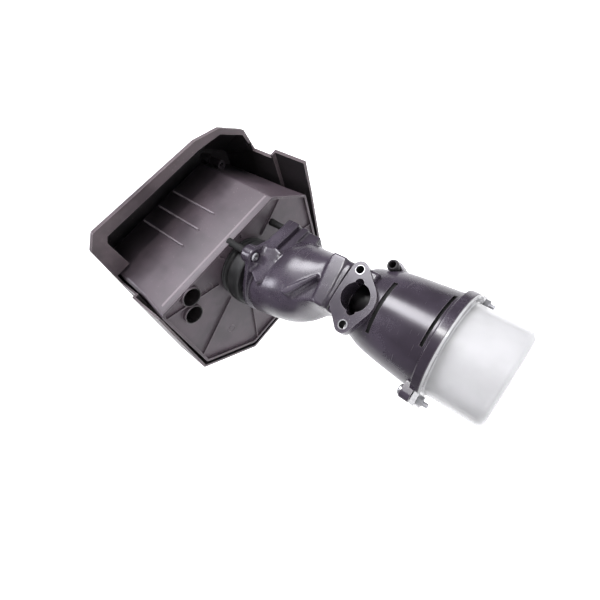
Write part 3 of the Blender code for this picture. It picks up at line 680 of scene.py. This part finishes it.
bell = [(20, 124), (23.5, 123.2), (25.5, 122), (27.2, 120.2), (28.5, 118), (31, 111), (33.6, 103.5),
        (35.3, 95), (36.4, 87), (37.3, 79), (38.3, 69), (39.2, 59), (40, 52.4), (40.3, 51.2), (41, 50.5),
        (42.6, 50.3), (43.3, 50), (RIM_RADIUS, 49.3), (RIM_RADIUS, LIP_LOW)]
canister = spun("filter_bell", bell, steps=128)
block = brick("elbow_block", (BLOCK_X[0], BLOCK_Y[0], 106), (BLOCK_X[1], BLOCK_Y[1], block_top))
soft_block = block.modifiers.new("Soft corners", "BEVEL")
soft_block.width, soft_block.segments = 2.5 * MM, 5
evaluated(block)
join(canister, block)
flange_outline = wrapped(round_points([(*studs[0], 6.4), (*studs[1], 6.4), (FLANGE_CENTRE[0], 112.7, 17.8)]))
clipped = [(x, min(z, block_top - 0.5)) for x, z in flange_outline]
kept = [p for i, p in enumerate(clipped) if p != clipped[i - 1]]
join(canister, slab("diamond_flange", kept, FLANGE_FACE_Y, FLANGE_BACK_Y, stand_at=True))
for i, ear in enumerate(ears):
    join(canister, slab(f"ear_{i}", ear_outline(ear), CANISTER_BASE + 0.2, EAR_TOP))
way = nipple_end - nipple_start
join(canister, rod("nipple_boss", nipple_start - way * 0.4, nipple_start + way * 0.45, 6.2))
reliefs = [(33.7, 91.3, 94.7, -128, -57), (37.4, 52.8, 55.2, -107, -40)]
for i, (floor_at, *reach) in enumerate(reliefs):
    carve(canister, sector_ring(f"relief_{i}", floor_at, 48, *reach))
for i in range(5):
    place = radians(30 + 34 * i)
    c, s = cos(place), sin(place)
    fin = [[(c * r - s * w, s * r + c * w, z)
            for r, w in ((36, -half), (outer, -half), (outer, half), (36, half))]
           for outer, half, z in ((42.8, 0.7, 50), (39.0, 0.6, 62.5))]
    join(canister, skin(f"rim_fin_{i}", fin))
hollow = [(17.4, 122.4), (22, 120), (25.5, 116.5), (28.4, 110), (31, 102.5), (32.7, 94.5), (34.7, 79),
          (35.6, 60), (35.6, 40)]
carve(canister, spun("hollow", hollow, steps=128))
px, pz = PORT_CENTRE
carve(canister, rod("port", (px, -60, pz), (px, -19, pz), PORT_RADIUS, 72))
for side in (1, -1):
    x, z = px + side * 10.6 * tilt.x, pz + side * 10.6 * tilt.y
    carve(canister, rod(f"port_lobe_{side + 1}", (x, -60, z), (x, -24, z), 3.5, 32))
for i, (x, z) in enumerate(studs):
    carve(canister, rod(f"sleeve_seat_{i}", (x, -60, z), (x, FLANGE_BACK_Y + 4, z), 3.9))
carve(canister, rod("tube_hole", (0, 0, 119), (0, 0, 140), TUBE_RADIUS + 0.3, 72),
      rod("tube_seat", (0, 0, JOINT_Z - 3.2), (0, 0, 140), 17.8, 72))
for i, (x, y) in enumerate(ELBOW_SCREWS):
    join(canister, rod(f"screw_boss_{i}", (x, y, 108), (x, y, block_top), 5.5))
    carve(canister, rod(f"screw_pilot_{i}", (x, y, 112), (x, y, 140), 2.2, 24))
carve(canister, rod("cup_room", (0, 0, 40), (0, 0, CANISTER_BASE), LIP_INSIDE, 128))
for i, ear in enumerate(ears):
    carve(canister, slab(f"cup_ear_room_{i}", ear_outline(ear, 0.4), 40, CANISTER_BASE))
carve(canister, spun("seal_groove", [(40.5, 49.6), (40.5, 40), (37.7, 40), (37.7, 49.6)], closed=True))
carve(canister, rod("nipple_seat", nipple_start - way * 0.02, nipple_end, 4.3),
      rod("nipple_bead_room", nipple_start + way * 0.7, nipple_start + way * 1.3, 5.1))
for i, ear in enumerate(ears):
    carve(canister, rod(f"ear_hole_{i}", (*ear, 40), (*ear, 60), 2.4, 32))
settle(canister, HOUSING_PLASTIC, "housing", ["canister_body"], round_by=0.5, sharp=40)


def dull_black(name, tone, roughness=0.5):
    """Black plastic with a haze over it."""
    mix = Recipe(name)
    haze = mix.noise(60, 3)
    grain = mix.noise(1800, 2)
    colour = mix.blend(haze.above(0.4, 0.7), tone, tuple(c * 2.2 for c in tone))
    return mix.finish(colour, roughness + (haze - 0.5) * 0.25, mix.bump(grain, 0.2, 0.08))


# Near-black matte used as painted shade: in the relief slots, in the sleeves' bores, and on the black duct
# posts to sink them into the lugs' shade.
PAINTED_SHADE_BLACK = dull_black("grime_and_painted_shade", (0.003, 0.003, 0.003), 0.8)
canister.data.materials.append(PAINTED_SHADE_BLACK)
# Painted shade: the relief slots' floors and lower walls take the near-black matte.
for face in canister.data.polygons:
    x, y, z = face.center / MM
    turned_to = degrees(atan2(y, x))
    for floor_at, low, high, first, last in reliefs:
        if (low - 0.1 < z < high + 0.1 and first - 1 < turned_to < last + 1
                and floor_at - 0.3 < hypot(x, y) < floor_at + 1.3):
            face.material_index = 1

# ---- Duct posts -------------------------------------------------------------------------------
# Three round black posts between the box's floor and the elbow's lugs. Each takes a long screw
# driven up from below.
BLACK_PLASTIC = dull_black("black_plastic", (0.006, 0.005, 0.006))
for name, (x, y) in lugs.items():
    profile = [(3.6, 240.5), (3.1, 232), (3.1, 217.6), (2.9, 217.3), (2.5, 217.3), (2.5, 240.5)]
    post = spun(f"duct_post_{name}", profile, (x, y), 40, closed=True)
    post.data.shade_smooth()
    post.data.set_sharp_from_angle(angle=radians(40))
    # The posts are black plastic; the near-black matte darkens them further as painted shade under the lugs.
    post.data.materials.append(PAINTED_SHADE_BLACK)
    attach(post, "housing")

# ---- Breather nipple and inner tube -----------------------------------------------------------
# A black hose nipple with one bead, and the long black tube that leads air down to the cup.
along = way.normalized()
turn_to_nipple = along.to_track_quat("Z", "Y").to_matrix().to_4x4()
length = way.length
nipple = spun("hose_nipple", [(4.0, 0), (4.0, length - 4.6), (4.15, length - 4.0), (4.65, length - 3.1),
                              (4.75, length - 2.4), (4.1, length - 0.5), (3.6, length), (3.0, length),
                              (2.7, length - 0.4), (2.7, 0)], steps=64, closed=True)
nipple.data.transform(Matrix.Translation(nipple_start * MM) @ turn_to_nipple)
settle(nipple, BLACK_PLASTIC, "housing", ["breather_nipple"], sharp=50)

tube_top = JOINT_Z - 0.6
inner_tube = spun("air_tube", [(12.4, tube_top), (12.4, 58.4), (12.8, 58), (13.6, 58), (14, 58.4),
                               (14, tube_top - 2.3), (17.2, tube_top - 2.3), (17.5, tube_top - 2),
                               (17.5, tube_top)], steps=96, closed=True)
settle(inner_tube, BLACK_PLASTIC, "housing", ["inner_tube"], sharp=50)

# ---- Flange sleeves ---------------------------------------------------------------------------
# Two short zinc-plated steel tubes pressed into the flange, so that the studs' nuts can't crush
# the plastic. They are one part number, placed on both stud centres.


def plated(name, tone, scratches=0.5):
    """Bright zinc plate: spangle, turned scratches, dirt in the low spots."""
    mix = Recipe(name)
    spangle = mix.noise(700, 2)
    fine = mix.noise(2500, 2, mix.stretched((1, 1, 6)))
    # In the zinc this mask is only dirt, in random patches.
    grime_and_painted_shade = mix.noise(240, 4).above(0.5, 0.72)
    colour = mix.blend(spangle.above(0.35, 0.65), tone, tuple(c * 0.8 for c in tone))
    colour = mix.blend(grime_and_painted_shade * 0.5, colour, (0.16, 0.13, 0.11))
    rough = 0.26 + spangle * 0.14 + grime_and_painted_shade * 0.3
    return mix.finish(colour, rough, mix.bump(fine, 0.15 * scratches, 0.05), metallic=1.0)


ZINC = plated("zinc_plate", (0.55, 0.55, 0.57))


def repeated(name, pattern, places, turns, material):
    """Copies of a pattern object on places, made by Geometry Nodes and turned into one mesh."""
    mesh = bpy.data.meshes.new(name)
    mesh.from_pydata([tuple(Vector(p) * MM) for p in places], [], [])
    turn = mesh.attributes.new("turn", "FLOAT_VECTOR", "POINT")
    turn.data.foreach_set("vector", [v for t in turns for v in t])
    made = bpy.data.objects.new(name, mesh)
    scene.collection.objects.link(made)
    tree = bpy.data.node_groups.new(name, "GeometryNodeTree")
    for label, kind in (("Places", "NodeSocketGeometry"), ("Pattern", "NodeSocketObject"),
                        ("Size", "NodeSocketFloat"), ("Finish", "NodeSocketMaterial")):
        tree.interface.new_socket(label, in_out="INPUT", socket_type=kind)
    tree.interface.new_socket("Pieces", in_out="OUTPUT", socket_type="NodeSocketGeometry")
    start, end = tree.nodes.new("NodeGroupInput"), tree.nodes.new("NodeGroupOutput")
    info = tree.nodes.new("GeometryNodeObjectInfo")
    turned_by = tree.nodes.new("GeometryNodeInputNamedAttribute")
    turned_by.data_type = "FLOAT_VECTOR"
    turned_by.inputs["Name"].default_value = "turn"
    placed = tree.nodes.new("GeometryNodeInstanceOnPoints")
    real = tree.nodes.new("GeometryNodeRealizeInstances")
    coat = tree.nodes.new("GeometryNodeSetMaterial")
    for source, target in ((start.outputs["Places"], placed.inputs["Points"]),
                           (start.outputs["Pattern"], info.inputs["Object"]),
                           (info.outputs["Geometry"], placed.inputs["Instance"]),
                           (turned_by.outputs["Attribute"], placed.inputs["Rotation"]),
                           (start.outputs["Size"], placed.inputs["Scale"]),
                           (placed.outputs["Instances"], real.inputs["Geometry"]),
                           (real.outputs["Geometry"], coat.inputs["Geometry"]),
                           (start.outputs["Finish"], coat.inputs["Material"]),
                           (coat.outputs["Geometry"], end.inputs["Pieces"])):
        tree.links.new(source, target)
    modifier = made.modifiers.new("Placed copies", "NODES")
    modifier.node_group = tree
    inputs = {item.name: item.identifier for item in tree.interface.items_tree if item.in_out == "INPUT"}
    modifier[inputs["Pattern"]] = pattern
    modifier[inputs["Size"]] = 1.0
    modifier[inputs["Finish"]] = material
    evaluated(made)
    bpy.data.objects.remove(pattern, do_unlink=True)
    return made


def kept_as(made, body, nodes, material, sharp=40):
    made.data.materials.clear()
    made.data.materials.append(material)
    made.data.shade_smooth()
    made.data.set_sharp_from_angle(angle=radians(sharp))
    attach(made, body)
    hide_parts(*nodes)
    return made


sleeve_depth = FLANGE_BACK_Y + 3.5 - FLANGE_FACE_Y - 0.2
sleeve = spun("sleeve", [(3.0, 0.35), (3.2, 0), (3.5, 0), (3.7, 0.3), (3.7, sleeve_depth),
                         (3.0, sleeve_depth)], steps=64, closed=True)
face_y = FLANGE_FACE_Y + 0.2
sleeves = repeated("flange_sleeves", sleeve, [(x, face_y, z) for x, z in studs],
                   [(-pi / 2, 0, 0)] * 2, ZINC)
kept_as(sleeves, "housing", ["flange_sleeve_left", "flange_sleeve_right"], ZINC)
# Painted shade: the deep faces inside the sleeves' bores take the near-black matte.
sleeves.data.materials.append(PAINTED_SHADE_BLACK)
for face in sleeves.data.polygons:
    middle = face.center / MM
    deep = middle.y > face_y + 0.6
    if deep and min(hypot(middle.x - x, middle.z - z) for x, z in studs) < 3.1:
        face.material_index = 1

# ---- Screws, bolts and nuts -------------------------------------------------------------------
# Zinc-plated cross-recess screws with a rolled thread. Two hold the elbow, three the duct posts,
# four the hood, and two bolts with hexagon nuts hold the dust cup's ears.
HEAD = 2.4


def cross_screw(name, head_radius, shank_radius, length, head=HEAD):
    """A pan-head screw, head up, seated at z = 0, with threads below and a cross recess."""
    pitch = shank_radius * 0.45
    profile = [(head_radius * 0.42, head), (head_radius * 0.72, head * 0.94),
               (head_radius * 0.93, head * 0.7), (head_radius, head * 0.42), (head_radius, 0),
               (shank_radius, -0.05)]
    z = -1.2
    while z > -length + pitch:
        profile += [(shank_radius * 0.82, z), (shank_radius, z - pitch / 2)]
        z -= pitch
    profile += [(shank_radius * 0.8, -length + 0.2), (shank_radius * 0.55, -length)]
    screw = spun(name, profile, steps=36)
    arm, width = head_radius * 0.66, head_radius * 0.2
    for k in range(2):
        c, s = cos(pi / 2 * k), sin(pi / 2 * k)
        long, across = Vector((c, s)), Vector((-s, c))
        corners = [long * a * arm + across * b * width for a, b in ((-1, -1), (1, -1), (1, 1), (-1, 1))]
        deep = [long * a * arm * 0.35 + across * b * width * 0.7
                for a, b in ((-1, -1), (1, -1), (1, 1), (-1, 1))]
        carve(screw, skin(f"{name}_slot_{k}", [[(*p, head * 0.12) for p in deep],
                                               [(*p, head + 1) for p in corners]]))
    evaluated(screw)
    return screw


def seat_of(node, up):
    """A fastener's axis and the height of its head's underside, from its solid."""
    low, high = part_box(node)
    z = high.z / MM - HEAD if up else low.z / MM + HEAD
    return ((low.x + high.x) / 2 / MM, (low.y + high.y) / 2 / MM, z)


def screws(name, nodes, body, up, head_radius, shank_radius):
    low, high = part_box(nodes[0])
    length = (high.z - low.z) / MM - HEAD
    pattern = cross_screw(name + "_pattern", head_radius, shank_radius, length)
    turns = [(0 if up else pi, 0, radians(37 * i + 20)) for i in range(len(nodes))]
    made = repeated(name, pattern, [seat_of(node, up) for node in nodes], turns, ZINC)
    kept_as(made, body, nodes, ZINC)


screws("elbow_screws", ["elbow_screw_1", "elbow_screw_2"], "housing", True, 4.4, 1.9)
screws("duct_screws", ["duct_screw_front", "duct_screw_right", "duct_screw_rear"], "housing", False,
       4.1, 2.2)
screws("cup_bolts", ["cup_bolt_1", "cup_bolt_2"], "housing", True, 4.2, 2.0)
screws("hood_screws", [f"hood_screw_{i}" for i in range(1, 5)], "hood", True, 4.2, 1.9)

nut_low, nut_high = (corner.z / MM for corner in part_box("cup_nut_1"))
thick = nut_high - nut_low
hexagon = [(4.3 * cos(pi / 3 * i), 4.3 * sin(pi / 3 * i)) for i in range(6)]
nut = slab("nut_pattern", hexagon, 0, thick)
carve(nut, rod("nut_thread", (0, 0, -1), (0, 0, thick + 1), 2.3, 32),
      spun("nut_chamfer", [(3.75, -1), (3.75, 0), (4.5, 0.75), (6, 0.75), (6, -1)], steps=48, closed=True))
evaluated(nut)
nut_places = [(*seat_of(node, True)[:2], nut_low) for node in ("cup_nut_1", "cup_nut_2")]
nuts = repeated("cup_nuts", nut, nut_places, [(0, 0, radians(19)), (0, 0, radians(52))], ZINC)
kept_as(nuts, "cup", ["cup_nut_1", "cup_nut_2"], ZINC, sharp=25)

# ---- Filter element, its supports and clip ----------------------------------------------------
# A thick ring of oiled fleece between two perforated steel discs, held up on the tube by a clip.


def drilled(name, disc, places, radius, low, high):
    """The disc with a hole at each place, cut by one set of rods placed with Geometry Nodes."""
    pattern = rod(name + "_drill", (0, 0, 0), (0, 0, high - low), radius, 16)
    drills = repeated(name + "_drills", pattern, [(x, y, low) for x, y in places],
                      [(0, 0, 0)] * len(places), ZINC)
    carve(disc, drills)
    evaluated(disc)
    return disc


for name, outer, holes_at in (("element_support_lower", 33, (18.5, 23.2, 28)),
                              ("element_support_upper", 31, (18.5, 23, 27.5))):
    low, high = (corner.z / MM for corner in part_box(name))
    disc = spun(name + "_disc", [(outer, high), (outer, low), (14.3, low), (14.3, high)], closed=True)
    places = [(r * cos(2 * pi * k / count), r * sin(2 * pi * k / count))
              for r in holes_at for count in [int(r * 1.25)] for k in range(count)]
    drilled(name, disc, places, 1.5, low - 2, high + 2)
    kept_as(disc, "housing", [name], ZINC)

low, high = (corner.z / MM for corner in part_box("element_clip"))
clip = spun("retaining_clip", [(19, high - 0.3), (18.7, high), (14.2, high), (14.2, low), (18.7, low),
                               (19, low + 0.3)], steps=72, closed=True)
carve(clip, brick("clip_gap", (13, -2, low - 1), (21, 2, high + 1)))
evaluated(clip)
kept_as(clip, "housing", ["element_clip"], ZINC)

FLEECE = fibre("filter_fleece", (0.2, 0.165, 0.1), (0.42, 0.37, 0.26), 700)
low, high = (corner.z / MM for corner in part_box("filter_element"))
bulge = [(14.4, high), (31.2, high), (31.9, high - 3), (31.5, (low + high) / 2), (31.9, low + 3),
         (31.2, low), (14.4, low)]
element = spun("fleece_ring", bulge, steps=160, closed=True)
kept_as(element, "housing", ["filter_element"], FLEECE, sharp=60)
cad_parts["bowl_seal"].data.materials[0] = BLACK_RUBBER

# ---- Dust cup ---------------------------------------------------------------------------------
# A thin translucent polypropylene bowl, milky white, with a stepped rim that fits inside the
# canister's lip, and two ears.
CUP_RADIUS, CUP_WALL, CUP_RIM_LOW, CUP_RIM_TOP, CORNER = 37.0, 2.2, 42.0, 46.0, 6.0


def milky(name):
    """Translucent natural polypropylene: cloudy white, a little clearer towards its rim."""
    mix = Recipe(name)
    cloud = mix.noise(30, 3)
    height = mix.node("ShaderNodeSeparateXYZ", None, mix.place, out="Z")
    thin = height.above(0.016, 0.04)
    streak = mix.noise(45, 2, mix.stretched((1, 1, 0.12)))
    colour = mix.blend(cloud.above(0.35, 0.65), (0.52, 0.52, 0.522), (0.6, 0.6, 0.605))
    mix.feed(mix.shader.inputs["Alpha"], 0.74 - thin * 0.08 + (streak - 0.5) * 0.08)
    rough = 0.12 + (cloud - 0.5) * 0.08
    return mix.finish(colour, rough, mix.bump(streak + cloud, 0.15, 0.6), IOR=1.49)


inner_corner = CORNER - CUP_WALL
turns = [radians(9 * k) for k in range(11)]
outer = [(CUP_RADIUS - CORNER + CORNER * sin(t), CORNER - CORNER * cos(t)) for t in reversed(turns)]
inner = [(CUP_RADIUS - CORNER + inner_corner * sin(t), CORNER - inner_corner * cos(t)) for t in turns]
cup_profile = [(8, CUP_WALL), *inner, (CUP_RADIUS - CUP_WALL + 0.5, CUP_RIM_TOP - 0.3),
               (CUP_RADIUS - CUP_WALL + 0.8, CUP_RIM_TOP), (LIP_INSIDE - 0.6, CUP_RIM_TOP),
               (LIP_INSIDE - 0.3, CUP_RIM_TOP - 0.3), (LIP_INSIDE - 0.3, LIP_LOW - 0.3),
               (RIM_RADIUS - 0.3, LIP_LOW - 0.3), (RIM_RADIUS, LIP_LOW - 0.6),
               (RIM_RADIUS, CUP_RIM_LOW + 0.4), (RIM_RADIUS - 0.4, CUP_RIM_LOW),
               (CUP_RADIUS + 1.6, CUP_RIM_LOW), (CUP_RADIUS + 0.7, CUP_RIM_LOW - 0.8),
               (CUP_RADIUS + 0.6, 39), *outer, (8, 0)]
cup = spun("dust_bowl", cup_profile, steps=144)
for i, ear in enumerate(ears):
    join(cup, slab(f"cup_ear_{i}", ear_outline(ear), CUP_RIM_LOW, CUP_RIM_TOP - 0.4))
for i, ear in enumerate(ears):
    carve(cup, rod(f"cup_ear_hole_{i}", (*ear, 35), (*ear, 50), 2.4, 32))
settle(cup, milky("milky_polypropylene"), "cup", ["dust_cup"], round_by=0.3, sharp=45)

# ---- Pre-filter screen and foam ---------------------------------------------------------------
# A perforated black plastic grille across the box, carrying a block of grey open-cell foam. Both
# lift out once the hood is off.
screen_plan = rounded(inset(BOX_HEAD, 2.9), 3)
low, high = (corner.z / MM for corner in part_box("prefilter_screen"))
screen = slab("grille", in_box_axes(screen_plan), low, high)
hole_plan = inset(BOX_HEAD, 8)
places = []
for row in range(-9, 16):
    for column in range(-14, 15):
        here = (column * 7.2 + (row % 2) * 3.6, row * 6.3)
        if hypot(*here) < reach_of(hole_plan, atan2(here[1], here[0])):
            places.append(in_box_axes([here])[0])
drilled("grille", screen, places, 2.6, low - 2, high + 2)
kept_as(screen, "housing", ["prefilter_screen"], BLACK_PLASTIC)


def open_cell(name):
    """Dark grey open-cell foam: pores darkened as painted shade in the cells, dust caught in it, no gloss.
    """
    mix = Recipe(name)
    pores = mix.node("ShaderNodeTexVoronoi", {"feature": "F1"}, Vector=mix.place, Scale=900)
    dust = mix.noise(40, 3).above(0.45, 0.7)
    # Painted shade: each pore is darkest at its middle, paler towards the cell walls.
    colour = mix.blend(pores.above(0.1, 0.6), (0.012, 0.012, 0.013), (0.075, 0.073, 0.072))
    colour = mix.blend(dust * 0.3, colour, (0.16, 0.13, 0.1))
    return mix.finish(colour, 0.95 - dust * 0.05, mix.bump(pores, 0.8, 0.5))


low, high = (corner.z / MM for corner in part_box("prefilter_foam"))
foam = skin("foam_block", [in_box_axes(rounded(inset(BOX_HEAD, 3.6 + grow), 3), z)
                           for z, grow in ((low, 1.2), (low + 1.5, 0), (high - 1.5, 0), (high, 1.2))])
evaluated(foam)
kept_as(foam, "housing", ["prefilter_foam"], open_cell("open_cell_foam"), sharp=60)

# ---- Hood -------------------------------------------------------------------------------------
# The rain cap, moulded in the same plastic as the box. Its roof slopes out to an overhanging
# front lip, and a stepped skirt goes down over the box on the other sides. Four screws hold it.
ROOF_Z, VISOR_Z, JOGGLE_Z, SKIRT_STEP, SKIRT_FRONT_Y = 355.0, 303.0, 277.0, 4.0, -36.0
HOOD_PLAN = [(-82, -80), (-70, -91.5), (47, -88.5), (75, -81), (97.5, -62), (101, -34), (98, -4),
             (88, 59.5), (45.3, 102), (-44, 101), (-93.6, 53.2), (-86, -34)]
HOOD_ROOF_PLAN = [(-82, -44), (-71, -54), (46, -51.5), (73, -45), (94, -27), (97.5, -20), (95.5, -4),
                  (85.5, 57.5), (44, 99.5), (-42.5, 98.5), (-91, 51.5), (-84.5, -20)]
SKIRT_PLAN = [(-85.5, SKIRT_FRONT_Y), (101.5, SKIRT_FRONT_Y), (97.5, -4), (87.5, 59),
              (45, 101.5), (-43.5, 100.5), (-93, 53)]
VISOR_OPENING = [(-68, -44), (-68, -76), (-64, -80.5), (46, -79.5), (72.5, -76), (94, -58.5), (97, -44)]


def skirt_inside(grow):
    """The space inside the skirt, open at its front."""
    return [(x, SKIRT_FRONT_Y - 10) if y < SKIRT_FRONT_Y + 4 else (x, y)
            for x, y in inset(SKIRT_PLAN, WALL - grow)]


def across_box(name, outline, low, high):
    return slab(name, in_box_axes(outline), low, high)


lip, roof = rounded(HOOD_PLAN, 3.4), rounded(HOOD_ROOF_PLAN, 3.4)
crown = rounded(inset(HOOD_ROOF_PLAN, 3), 2)
hollow, under_roof = rounded(inset(HOOD_PLAN, WALL), 2), rounded(inset(HOOD_ROOF_PLAN, WALL + 0.5), 2)
hood = skin("rain_hood", [in_box_axes(plan, z) for plan, z in
                          ((lip, VISOR_Z), (lip, VISOR_Z + 4), (roof, ROOF_Z - 3), (crown, ROOF_Z))])
join(hood, across_box("skirt", SKIRT_PLAN, JOGGLE_Z - 1, VISOR_Z + 10),
     across_box("low_skirt", inset(SKIRT_PLAN, -SKIRT_STEP), RIM_Z, JOGGLE_Z))
carve(hood, skin("hood_hollow", [in_box_axes(plan, z) for plan, z in
                                 ((hollow, VISOR_Z + 2.5), (hollow, VISOR_Z + 4.5),
                                  (under_roof, ROOF_Z - 2.9))]),
      across_box("skirt_hollow", skirt_inside(0.0), JOGGLE_Z - 6, VISOR_Z + 6),
      across_box("low_skirt_hollow", skirt_inside(SKIRT_STEP), RIM_Z - 5, JOGGLE_Z - 2.5),
      across_box("mouth", VISOR_OPENING, VISOR_Z - 5, VISOR_Z + 4))
for i, (x, y) in enumerate(in_box_axes(HOOD_SCREWS)):
    join(hood, rod(f"hood_post_{i}", (x, y, BOX_TOP_Z + 0.2), (x, y, ROOF_Z - 1.5), 5.0))
    carve(hood, rod(f"hood_post_bore_{i}", (x, y, 330), (x, y, ROOF_Z + 5), 2.4, 32),
          rod(f"hood_head_seat_{i}", (x, y, ROOF_Z - 2.6), (x, y, ROOF_Z + 5), 4.8))
HOOD_PLASTIC = moulded("hood_plastic", (0.05, 0.038, 0.043), (0.082, 0.064, 0.07), (0.27, 0.23, 0.235), 0.42)
settle(hood, HOOD_PLASTIC, "hood", ["hood"], round_by=0.75)
# Painted shade: the hood's inside faces, all but the flat lip's underside, take a near-black copy of its
# plastic.
hood.data.materials.append(moulded("hood_inside_painted_shade", (0.006, 0.005, 0.006), (0.012, 0.0095, 0.011),
                                   (0.03, 0.025, 0.028), 0.5))
for face in hood.data.polygons:
    x, y, z = face.center / MM
    x, y = from_box_axes(x, y)
    up = min(max((z - VISOR_Z - 4) / (ROOF_Z - 3 - VISOR_Z - 4), 0), 1)
    if z > VISOR_Z - 1:
        plan = [(a * (1 - up) + c2 * up, b * (1 - up) + d * up)
                for (a, b), (c2, d) in zip(HOOD_PLAN, HOOD_ROOF_PLAN)]
    else:
        plan = inset(SKIRT_PLAN, -SKIRT_STEP if z < JOGGLE_Z else 0)
    flat_lip = z < VISOR_Z + 3 and face.normal.z < -0.7
    if hypot(x, y) < reach_of(inset(plan, 1.4), atan2(y, x)) and not flat_lip and z < ROOF_Z - 2.5:
        face.material_index = 1
